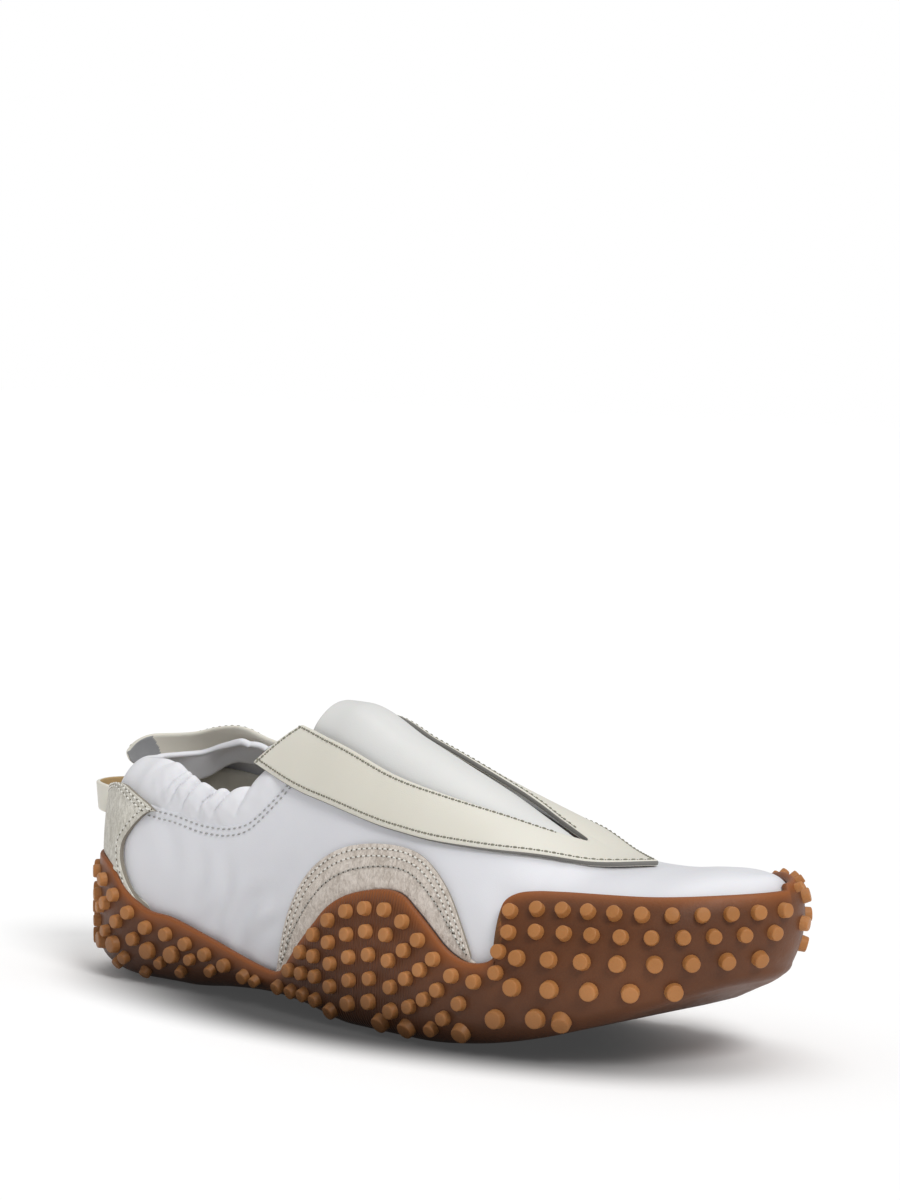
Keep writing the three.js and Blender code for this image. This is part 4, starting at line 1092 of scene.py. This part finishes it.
def build_collar():
    around, ring = heel_ring(COLLAR_FRONT, 190)
    x = station(ring)[0]
    lateral = around > 0
    ease = smoothstep((x - GATHER_START) / 14) * smoothstep((GATHER_END - x) / 12)
    strength = ease * np.where(lateral, 1.0, 0.5)
    bulge = fanned_bulge(x, strength, 1.0)
    lean_in = HEEL_LEAN * smoothstep((52 - x) / 34)
    rim = rim_line(x, lateral)
    low = rise_where(ring, off_face(0.0), lambda px: seam_height(px) - 1.5)
    high = rise_where(ring, off_face(0.0), lambda px: rim(px) - 1.1 * (1 - bulge) * ease - 0.6)
    drop = rise_where(ring, off_face(0.0), lambda px: rim(px) - COLLAR_INNER_DROP)
    rows = gathered_rows(around, ring, ease, strength, lean_in, low, high)
    radius = (COLLAR_WALL + 0.9) / 2
    rows += rolled_rows(rows[-1], -last_normal(ring, high), unit(rows[-1] - rows[-2]), radius, 9)
    inner_off = -COLLAR_SUNK - 2 * radius - lean_in
    rows += turned_down_rows(around, ring, bulge, rows[-1], high, drop, inner_off)
    rows += rolled_rows(rows[-1], last_normal(ring, drop), unit(rows[-1] - rows[-2]), HEM_RADIUS, 6)
    piece = grid_piece("collar_gathered", np.stack(rows, 1), outward=away_from_heart)
    place_piece(piece, collar_leather, ["collar"])


LINING_FRONT = 118.0
LINING_LAP = 6.5  # how far the lining reaches up over the collar's seam
LINING_TOP = 84.0


def build_lining():
    _, ring = heel_ring(LINING_FRONT, 90)
    high = rise_where(ring, off_face(0.0), lambda px: np.minimum(seam_height(px) + LINING_LAP, LINING_TOP))
    share = np.linspace(0.02, 1, 24)
    sheet = off_last(ring[:, None], high[:, None] * share[None, :], -UPPER_WALL - 0.35)
    piece = grid_piece("collar_lining", sheet, outward=away_from_heart)
    thicken(piece, 0.6, 0)
    place_piece(piece, lining_cloth, [])


# Tongue, yoke, counter and panels

def slope_to_plan(rows, side, count):
    line = spline(np.stack([LAST_LENGTH * rows["at"], INSTEP_HEIGHT * rows["up"]], 1), count)
    around, rise = settle(line, side, slope_view)
    return plan_view(off_last(around, rise, 0.0))


def plan_line(rows, count):
    return spline(np.stack([LAST_LENGTH * rows["at"], BALL_WIDTH / 2 * rows["out"]], 1), count)


THROAT_L = slope_to_plan(THROAT_LATERAL, -1, 90)
THROAT_M = plan_line(THROAT_MEDIAL, 90)
TONGUE_REAR_X = 0.352 * LAST_LENGTH
TONGUE_FRONT_X = 0.752 * LAST_LENGTH
TONGUE_PUFF = 2.3
TONGUE_DEPTH = 4.5


def build_tongue():
    columns, rows = 90, 40
    x = np.linspace(TONGUE_REAR_X, TONGUE_FRONT_X, columns)
    left = np.interp(x, THROAT_L[:, 0], THROAT_L[:, 1])
    right = np.interp(x, THROAT_M[:, 0], THROAT_M[:, 1])
    v = np.linspace(0, 1, rows)
    lap = SEAM_LAP - 0.6
    y = (left - lap)[:, None] * (1 - v) + (right + lap)[:, None] * v
    bow = 4.0 * np.sin(math.pi * v)[None, :] * ((1 - np.linspace(0, 1, columns)) ** 6)[:, None]
    xy = np.stack([x[:, None] + bow + 0 * y, y], -1)
    inner = (y - left[:, None]) / np.maximum(right - left, 1e-3)[:, None]
    lift = np.clip(inner, 0, 1)
    crown = np.sin(math.pi * lift) ** 0.55
    wide = np.clip((right - left) / 22, 0.15, 1)[:, None]
    medial_drop = -1.9 * smoothstep((inner - 0.86) / 0.16)
    dent = -0.5 * np.exp(-((inner - 0.5) / 0.12) ** 2) * np.exp(-((x[:, None] - 118) / 16) ** 2)
    off = -0.45 + TONGUE_PUFF * crown * wide + medial_drop + dent
    sheet = on_plan(xy, off)
    piece = grid_piece("tongue_padded", sheet, outward=lambda c: np.tile([0, 0, 1.0], (len(c), 1)))
    thicken(piece, TONGUE_DEPTH, 1)
    place_piece(piece, tongue_leather, ["tongue"])


THROAT_SHUT = 3.5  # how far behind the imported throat's tip the leather already meets
LATERAL_ARM_REAR = 0.342 * LAST_LENGTH  # x where the inner edges of the yoke's arms begin
MEDIAL_ARM_REAR = 0.335 * LAST_LENGTH
YOKE_STEPS = 110


def yoke_outline():
    """Matched points of the yoke's outer and inner edges, from its lateral rear end round the tip."""
    count = YOKE_STEPS
    lateral_out = slope_to_plan(YOKE_OUTER, -1, count)
    medial_out = plan_line(YOKE_MEDIAL, count)[::-1]
    outer = np.vstack([lateral_out, medial_out[1:]])
    lateral_in = THROAT_L[THROAT_L[:, 0] > LATERAL_ARM_REAR]
    medial_in = THROAT_M[THROAT_M[:, 0] > MEDIAL_ARM_REAR][::-1]
    lateral_in = lateral_in[lateral_in[:, 0] < THROAT_L[-1, 0] - THROAT_SHUT]
    medial_in = medial_in[medial_in[:, 0] < THROAT_M[-1, 0] - THROAT_SHUT]
    tip = (lateral_in[-1] + medial_in[0]) / 2 + np.array([1.2, 0])
    to_tip = even_steps(np.vstack([lateral_in, tip]), count)
    from_tip = even_steps(np.vstack([tip, medial_in]), count)
    inner = np.vstack([to_tip, from_tip[1:]])
    outer = np.vstack([even_steps(outer[:count], count), even_steps(outer[count - 1:], count)[1:]])
    return outer, inner


def build_yoke():
    outer, inner = yoke_outline()
    v = np.linspace(0, 1, 16)[None, :, None]
    xy = outer[:, None, :] * (1 - v) + inner[:, None, :] * v
    sheet = on_plan(xy, FIT_GAP + YOKE_THICKNESS + EDGE_SWELL)
    piece = grid_piece("yoke_leather", sheet, outward=lambda c: np.tile([0, 0, 1.0], (len(c), 1)))
    piece.data.materials.append(cream_leather)
    piece.data.materials.append(cream_edge)
    thicken(piece, YOKE_THICKNESS + EDGE_SWELL, 1, edge=1)
    place_piece(piece, None, ["yoke"])
    return sheet


def transfinite(bottom, top, left, right):
    """A grid between four edges: bottom and top run along u, left and right along v."""
    u = np.linspace(0, 1, len(bottom))[:, None, None]
    v = np.linspace(0, 1, len(left))[None, :, None]
    sides = left[None] * (1 - u) + right[None] * u
    ends = bottom[:, None] * (1 - v) + top[:, None] * v
    corners = ((1 - u) * (1 - v) * bottom[0] + u * (1 - v) * bottom[-1]
               + (1 - u) * v * top[0] + u * v * top[-1])
    return sides + ends - corners


COUNTER_MIDDLE = 2.0  # how far off the last the counter's outline is measured


def counter_places(count_u, count_v):
    """Places round the last and rises of the lateral half of the counter, from the heel forwards."""
    front = side_line(COUNTER_FRONT, count_v)
    around_f, rise_f = settle(front, -1, side_view, lambda a, r: off_last(a, r, COUNTER_MIDDLE), 0.4)
    top = side_line(COUNTER_TOP, 200)
    around_t = np.linspace(0, around_f[-1], count_u)
    height = lambda x: np.interp(x, top[:, 0], top[:, 1])
    surface = off_face(COUNTER_MIDDLE)
    rise_t = rise_where(around_t, surface, height)
    rise_t += (rise_f[-1] - rise_t[-1]) * smoothstep(np.linspace(-1, 1, count_u))
    lip = side_line(LATERAL_LIP, 600)
    around_b = np.linspace(0, around_f[0], count_u)
    rise_b = rise_where(around_b, surface, lambda x: np.interp(x, lip[:, 0], lip[:, 1]) - 0.6)
    rise_b += (rise_f[0] - rise_b[-1]) * smoothstep(np.linspace(-1, 1, count_u))
    left = np.stack([np.zeros(count_v), np.linspace(rise_b[0], rise_t[0], count_v)], -1)
    right = np.stack([around_f, rise_f], -1)
    return transfinite(np.stack([around_b, rise_b], -1), np.stack([around_t, rise_t], -1), left, right)


COUNTER_TUCK = 1.2  # how far the counter's lower edge draws in behind the rubber's lip


def build_counter():
    half = counter_places(44, 34)
    places = np.concatenate([half[::-1] * [-1, 1], half[1:]], 0)
    ring = np.where(places[..., 0] < 0, 2 + places[..., 0], places[..., 0])
    tuck = COUNTER_TUCK * smoothstep(1 - np.linspace(0, 1, places.shape[1]) / 0.12)
    sheet = off_last(ring, places[..., 1], FIT_GAP + COUNTER_THICKNESS + EDGE_SWELL - tuck[None, :])
    piece = grid_piece("heel_counter_suede", sheet, outward=away_from_heart)
    piece.data.materials.append(counter_suede)
    piece.data.materials.append(suede_edge)
    thicken(piece, COUNTER_THICKNESS + EDGE_SWELL, 1, edge=1)
    place_piece(piece, None, ["heel_counter"])
    return sheet


def build_panel(name, node, arch_rows, lip_rows, side, span):
    count_u, count_v = 90, 24
    arch, lip = side_line(arch_rows, 400), side_line(lip_rows, 900)
    floor = np.interp(arch[:, 0], lip[:, 0], lip[:, 1])
    arch = even_steps(arch[arch[:, 1] > floor + 0.4], count_u)
    inside = (lip[:, 0] > span[0] * LAST_LENGTH) & (lip[:, 0] < span[1] * LAST_LENGTH)
    lip = even_steps(lip[inside], count_u) + np.array([0, 0.4])
    v = np.linspace(0, 1, count_v)[None, :, None]
    places = lip[:, None] * (1 - v) + arch[:, None] * v
    thick = FIT_GAP + PANEL_THICKNESS
    around, rise = settle(places, side, side_view, lambda a, r: off_last(a, r, thick), 0.5)
    sheet = off_last(around, rise, thick)
    piece = grid_piece(name, sheet, outward=away_from_heart)
    piece.data.materials.append(panel_suede)
    piece.data.materials.append(suede_edge)
    thicken(piece, PANEL_THICKNESS, 1, edge=1)
    place_piece(piece, None, [node])
    return sheet


# Strap and pull loop

STRAP_LEAVES = 1.93  # place round the last where the strap comes away from the collar
STRAP_END = 1.995
STRAP_GREY_END = 3.0  # x up to which the strap's inner side is bare grey backing
STRAP_LIFT = 2.6  # how much higher the strap rides over the puffed medial rim


def strap_sheet(count_u, count_v):
    around = np.linspace(float(around_at(0.335 * LAST_LENGTH, 1)), STRAP_END, count_u)
    away = np.maximum(0, (around - STRAP_LEAVES) / (STRAP_END - STRAP_LEAVES))
    off = 0.2 + STRAP_THICKNESS + STRAP_REACH * away**1.5
    t = np.linspace(-1, 1, count_v)
    tip = np.clip((STRAP_END - around) / 0.020, 0, 1)
    half = (STRAP_WIDTH / 2 + 0.8 * away) * np.sqrt(1 - (1 - tip) ** 2 * 0.97)
    x = station(around)[0]
    lift = STRAP_LIFT * smoothstep((x - 2) / 22) * smoothstep((88 - x) / 20)
    centre = COLLAR_HEIGHT * strap_top(x / LAST_LENGTH) - STRAP_WIDTH / 2 + lift - 1.5 * away**3
    rows = []
    for k in t:
        height = centre + half * k
        rise = rise_where(around, off_face(off), lambda px: height)
        rows.append(off_last(around, rise, off + 0.5 * (1 - k * k)))
    return np.stack(rows, 1)


def build_strap():
    """The leather band along the medial collar, with its free end off the heel."""
    sheet = strap_sheet(120, 12)
    piece = grid_piece("collar_strap_leather", sheet, outward=away_from_heart)
    piece.data.materials.append(cream_leather)
    piece.data.materials.append(grey_backing)
    apply(piece, "SOLIDIFY", thickness=STRAP_THICKNESS * MM, offset=-1.0, material_offset=1)
    apply(piece, "SUBSURF", levels=1, render_levels=1)
    for face in piece.data.polygons:
        if face.material_index and face.center.x / MM - ORIGIN[0] > STRAP_GREY_END:
            face.material_index = 0
    place_piece(piece, None, ["collar_strap"])
    return sheet


LOOP_HALF = 13.0  # half the width of the loop at its feet
LOOP_LOW = 52.5  # height of the band's lower edge
LOOP_LEAN = 1.3  # how much further back the band's upper edge stands than its lower one
LOOP_LIFT = 0.9  # how much higher the loop's tip stands than its feet
LOOP_INSIDE_X = -0.128  # a place in metres that the band's outer face turns away from


def build_loop():
    half, tip = LOOP_HALF, -LOOP_REACH
    curve = spline([(3.0, 1.8 - half), (-1.5, 0.6 - half), (tip + 2.8, -0.68 * half), (tip, 0),
                    (tip + 2.8, 0.68 * half), (-1.5, half - 0.6), (3.0, half - 1.8)], 60)
    rows = []
    for t in np.linspace(0, 1, 11):
        lean = LOOP_LEAN * (0.5 - t)
        x = curve[:, 0] + lean * np.clip((3.4 - curve[:, 0]) / 12, 0, 1)
        height = LOOP_LOW + LOOP_WIDTH * t + LOOP_LIFT * np.clip((2.0 - curve[:, 0]) / 14, 0, 1)
        rows.append(np.stack([x, curve[:, 1], height], -1))
    sheet = np.stack(rows, 1)
    outward = lambda centres: centres * [1, 1, 0] - [LOOP_INSIDE_X, 0, 0]
    piece = grid_piece("heel_pull_loop_leather", sheet, outward=outward)
    piece.data.materials.append(cream_leather)
    piece.data.materials.append(tan_backing)
    apply(piece, "SOLIDIFY", thickness=STRAP_THICKNESS * MM, offset=-1.0, material_offset=1)
    apply(piece, "SUBSURF", levels=1, render_levels=1)
    place_piece(piece, None, ["heel_pull_loop"])
    return sheet


# Stitches

def sheet_normals(sheet):
    du, dv = np.gradient(sheet, axis=0), np.gradient(sheet, axis=1)
    normal = unit(np.cross(du, dv))
    flip = (normal * (sheet - HEART) * [0.3, 1, 1]).sum() < 0
    return -normal if flip else normal


def inset_line(sheet, edge, inset):
    """Points and normals along one edge of a sheet, a distance in from it."""
    normal = sheet_normals(sheet)
    if edge in ("v0", "v1"):
        rows, ups = (sheet, normal) if edge == "v0" else (sheet[:, ::-1], normal[:, ::-1])
    else:
        turned, turned_up = np.swapaxes(sheet, 0, 1), np.swapaxes(normal, 0, 1)
        rows, ups = (turned, turned_up) if edge == "u0" else (turned[:, ::-1], turned_up[:, ::-1])
    length = np.concatenate([np.zeros((len(rows), 1)),
                             np.cumsum(np.linalg.norm(np.diff(rows, axis=1), axis=2), axis=1)], 1)
    points, ups_at = [], []
    for row, up, run in zip(rows, ups, length):
        reach = min(inset, run[-1] * 0.5)
        points.append([np.interp(reach, run, row[:, k]) for k in range(3)])
        ups_at.append([np.interp(reach, run, up[:, k]) for k in range(3)])
    return np.array(points), unit(np.array(ups_at))


NEEDLE_HOLE = (0.34, 0.34, 0.10)  # half length, half width and half depth

YOKE_SEAM = {"pitch": 2.5, "share": 0.6, "radius": 0.36}
COUNTER_SEAM = {"pitch": 2.3, "share": 0.62, "radius": 0.34, "proud": 0.25}
PANEL_SEAM = {"pitch": 2.2, "share": 0.6, "radius": 0.34, "proud": 0.15, "first": 0.03, "last_share": 0.97}
COLLAR_SEAM = {"pitch": 2.4, "share": 0.55, "radius": 0.30, "proud": 0.1, "holes": False}
STRAP_SEAM = {"pitch": 2.6, "share": 0.55, "radius": 0.26, "proud": 0.1, "holes": False}


class Stitching:
    """Threads and needle holes gathered from several seams into one mesh of each."""

    def __init__(self):
        self.threads, self.holes = {}, []

    def run(self, points, normals, colour, pitch, share, radius, proud=0.12, holes=True,
            first=0.0, last_share=1.0):
        """Stitches along a line: a stitch and its gap take pitch, and the thread takes share of that."""
        length = np.concatenate([[0], np.cumsum(np.linalg.norm(np.diff(points, axis=0), axis=1))])
        count = int(length[-1] * (last_share - first) / pitch)
        for i in range(count):
            middle_at = length[-1] * first + (i + 0.5) * pitch
            at = [np.interp(middle_at, length, points[:, k]) for k in range(3)]
            ahead = [np.interp(middle_at + 0.5, length, points[:, k]) for k in range(3)]
            up = [np.interp(middle_at, length, normals[:, k]) for k in range(3)]
            along = np.array(ahead) - np.array(at)
            if np.linalg.norm(along) < 1e-6:
                continue
            up = unit(np.array(up))
            centre = np.array(at) + up * proud
            size = (pitch * share / 2, radius, radius * 0.8)
            self.threads.setdefault(colour, []).append(frame_matrix(centre, up, along, size))
            # A dark mark between stitches, painted shade of the needle hole.
            if holes:
                hole = np.array(at) + unit(along) * pitch / 2 + up * 0.02
                self.holes.append(frame_matrix(hole, up, along, NEEDLE_HOLE))

    def build(self):
        slots = {"yoke": (yoke_thread, "cream_leather"), "white": (white_thread, "pale_suede"),
                 "grey": (grey_thread, "white_leather")}
        for colour, places in self.threads.items():
            material, slot = slots[colour]
            self.piece("stitches_" + colour, places, material, slot)
        self.piece("stitch_holes", self.holes, stitch_hole, "pale_suede")

    def piece(self, name, places, material, slot):
        deselect()
        bpy.ops.mesh.primitive_uv_sphere_add(segments=8, ring_count=5, radius=MM)
        place_piece(repeat_mesh(name, bpy.context.object, places), material)


TIP_UNSEWN = 8  # points of the yoke's inner edge left without thread on each side of the throat's tip
COUNTER_ROWS = (("v1", 2.0), ("v1", 4.6), ("u0", 2.2), ("u1", 2.2))  # edges, and how far in from them
PANEL_ROWS = (1.8, 4.2, 10.5, 12.9)  # how far in from the arch
COLLAR_ROWS = (-1.6, -3.8)  # heights over the collar's seam
COLLAR_SEWN = {-1: (31.0, 97.0), 1: (31.0, 90.0)}  # x between which its stitches run on each side


def above_cup(points, spare=1.8):
    """Whether seam points stand clear above the rubber's lip."""
    lips = np.array([lip_over(p[0], -1 if p[1] < 0 else 1) for p in points])
    return points[:, 2] > lips + spare


def collar_seam_line(rise_up, side, first_x, last_x):
    around = np.linspace(float(around_at(first_x, side)), float(around_at(last_x, side)), 120)
    rise = rise_where(around, off_face(0.0), lambda x: seam_height(x) + rise_up)
    return off_last(around, rise, 0.15), last_normal(around, rise)


def sew_yoke(sewing, yoke):
    points, normals = inset_line(yoke, "v0", 2.0)
    sewing.run(points, normals, "yoke", **YOKE_SEAM)
    points, normals = inset_line(yoke, "v1", 1.6)
    tip = int(np.argmax(points[:, 0]))
    for part in (slice(0, tip - TIP_UNSEWN), slice(tip + TIP_UNSEWN, None)):
        sewing.run(points[part], normals[part], "yoke", **YOKE_SEAM)
    for edge in ("u0", "u1"):
        points, normals = inset_line(yoke, edge, 1.8)
        sewing.run(points, normals, "yoke", **YOKE_SEAM)


def build_stitches(yoke, counter, lateral, medial, strap):
    sewing = Stitching()
    sew_yoke(sewing, yoke)
    for edge, inset in COUNTER_ROWS:
        points, normals = inset_line(counter, edge, inset)
        clear = above_cup(points)
        sewing.run(points[clear], normals[clear], "white", **COUNTER_SEAM)
    for sheet in (lateral, medial):
        for inset in PANEL_ROWS:
            points, normals = inset_line(sheet, "v1", inset)
            sewing.run(points, normals, "white", **PANEL_SEAM)
    for side in (-1, 1):
        for rise_up in COLLAR_ROWS:
            points, normals = collar_seam_line(rise_up, side, *COLLAR_SEWN[side])
            sewing.run(points, normals, "grey", **COLLAR_SEAM)
    for edge in ("v0", "v1"):
        points, normals = inset_line(strap, edge, 1.5)
        sewing.run(points, normals, "yoke", **STRAP_SEAM)
    sewing.build()


# Insole

INSOLE_THICKNESS = 4.0
INSOLE_EDGE = 1.2  # radius of the insole's upper edge


def build_insole():
    ring = np.linspace(0, 2, 241)[:-1]
    bottom = off_last(ring, np.zeros_like(ring), -UPPER_WALL - FIT_GAP)
    middle_of = lambda rim: (rim + across_ring(rim)) / 2
    foot = [middle_of(bottom) * (1 - t) + bottom * t for t in np.linspace(0, 1, 5)]
    inwards = unit((middle_of(bottom) - bottom) * [1, 1, 0] + [0, 1e-9, 0])
    edge = []
    for a in np.linspace(0, math.pi / 2, 5):
        point = bottom + inwards * INSOLE_EDGE * (1 - math.cos(a))
        point[:, 2] += INSOLE_THICKNESS - INSOLE_EDGE * (1 - math.sin(a))
        edge.append(point)
    top = edge[-1]
    cover = [top * (1 - t) + middle_of(top) * t for t in np.linspace(0, 1, 14)[1:]]
    sheet = np.stack(foot + edge + cover, 1)
    sheet = np.concatenate([sheet, sheet[:1]], 0)
    place_piece(grid_piece("insole_cloth", sheet, weld=True), lining_cloth, ["insole"])


# Floor, light and camera

AZIMUTH = math.radians(38.78)
ELEVATION = math.radians(8.90)
ROLL = math.radians(1.65)
DISTANCE = 1208.4 * MM
TARGET = Vector((10.96, 0.37, 42.2)) * MM
LENS = 110.8
SHIFT = (0.0023, 0.2404)
FLOOR_GLOW = 0.05
WORLD_GLOW = 0.48
SHADE_CENTRE = (0.0, 0.25, 0.0)
SHADE_TURN = math.radians(-3)
SHADE_REACH = (0.150, 0.068)  # half length and half width of the painted shadow under the sole, in metres


def set_camera():
    data = bpy.data.cameras.new("photo_camera")
    data.lens = LENS
    data.sensor_width = 36.0
    data.sensor_fit = "AUTO"
    data.shift_x, data.shift_y = SHIFT
    data.clip_end = 20.0
    camera = bpy.data.objects.new("photo_camera", data)
    bpy.context.scene.collection.objects.link(camera)
    back = Vector((math.sin(AZIMUTH) * math.cos(ELEVATION), -math.cos(AZIMUTH) * math.cos(ELEVATION),
                   math.sin(ELEVATION)))
    level = Vector((math.cos(AZIMUTH), math.sin(AZIMUTH), 0))
    right = Matrix.Rotation(ROLL, 3, back) @ level
    up = back.cross(right)
    turn = Matrix((right, up, back)).transposed()
    camera.matrix_world = Matrix.Translation(TARGET + back * DISTANCE) @ turn.to_4x4()
    bpy.context.scene.camera = camera


def sun_light(name, towards, strength, spread):
    data = bpy.data.lights.new(name, "SUN")
    data.energy = strength
    data.angle = math.radians(spread)
    light = bpy.data.objects.new(name, data)
    light.rotation_euler = Vector(towards).to_track_quat("Z", "Y").to_euler()
    bpy.context.scene.collection.objects.link(light)


def set_contact_shade(paper, shader):
    """Paints a shadow on the paper close under the sole, fading out just beyond its edge."""
    tree = paper.node_tree
    coords = tree.nodes.new("ShaderNodeTexCoord")
    mapping = tree.nodes.new("ShaderNodeMapping")
    mapping.inputs["Location"].default_value = SHADE_CENTRE
    mapping.inputs["Rotation"].default_value = (0.0, 0.0, SHADE_TURN)
    mapping.inputs["Scale"].default_value = (1 / SHADE_REACH[0], 1 / SHADE_REACH[1], 0.0)
    reach = tree.nodes.new("ShaderNodeVectorMath")
    reach.operation = "LENGTH"
    ramp = tree.nodes.new("ShaderNodeValToRGB")
    first, second = ramp.color_ramp.elements
    ramp.color_ramp.interpolation = "EASE"
    first.position, first.color = 0.45, (0.05, 0.05, 0.05, 1)
    second.position, second.color = 1.0, (0.96, 0.96, 0.96, 1)
    tree.links.new(coords.outputs["Object"], mapping.inputs["Vector"])
    tree.links.new(mapping.outputs["Vector"], reach.inputs[0])
    tree.links.new(reach.outputs["Value"], ramp.inputs["Fac"])
    tree.links.new(ramp.outputs["Color"], shader.inputs["Base Color"])


def set_floor():
    deselect()
    bpy.ops.mesh.primitive_plane_add(size=12.0, location=(0, 0, 0))
    floor = bpy.context.object
    floor.name = "studio_floor"
    paper = bpy.data.materials.new("studio_paper")
    paper.use_nodes = True
    shader = paper.node_tree.nodes["Principled BSDF"]
    set_contact_shade(paper, shader)
    shader.inputs["Roughness"].default_value = 0.9
    shader.inputs["Specular IOR Level"].default_value = 0.1
    shader.inputs["Emission Color"].default_value = (1, 1, 1, 1)
    shader.inputs["Emission Strength"].default_value = FLOOR_GLOW
    floor.data.materials.append(paper)


def set_world():
    """White all round, brighter where the camera sees it than where it lights the shoe."""
    world = bpy.data.worlds.new("studio")
    world.use_nodes = True
    tree = world.node_tree
    glow = tree.nodes["Background"]
    glow.inputs["Color"].default_value = (1, 1, 1, 1)
    glow.inputs["Strength"].default_value = WORLD_GLOW
    backdrop = tree.nodes.new("ShaderNodeBackground")
    backdrop.inputs["Color"].default_value = (1, 1, 1, 1)
    seen = tree.nodes.new("ShaderNodeLightPath")
    choice = tree.nodes.new("ShaderNodeMixShader")
    tree.links.new(seen.outputs["Is Camera Ray"], choice.inputs["Fac"])
    tree.links.new(glow.outputs["Background"], choice.inputs[1])
    tree.links.new(backdrop.outputs["Background"], choice.inputs[2])
    tree.links.new(choice.outputs["Shader"], tree.nodes["World Output"].inputs["Surface"])
    bpy.context.scene.world = world


def set_lights():
    sun_light("key", (0.85, -0.35, 0.95), 1.35, 22)
    sun_light("top", (-0.10, 0.15, 1.0), 0.75, 45)
    bpy.context.scene.view_settings.view_transform = "Standard"


set_camera()
set_floor()
set_world()
set_lights()
build_cup()
build_studs()
build_upper()
build_collar()
build_lining()
build_tongue()
yoke_sheet = build_yoke()
counter_sheet = build_counter()
lateral_sheet = build_panel("lateral_panel_suede", "lateral_panel", LATERAL_ARCH, LATERAL_LIP, -1,
                            (0.352, 0.70))
medial_sheet = build_panel("medial_panel_suede", "medial_panel", MEDIAL_ARCH, MEDIAL_LIP, 1,
                           (0.47, 0.815))
strap_points = build_strap()
build_loop()
build_stitches(yoke_sheet, counter_sheet, lateral_sheet, medial_sheet, strap_points)
build_insole()
deselect()
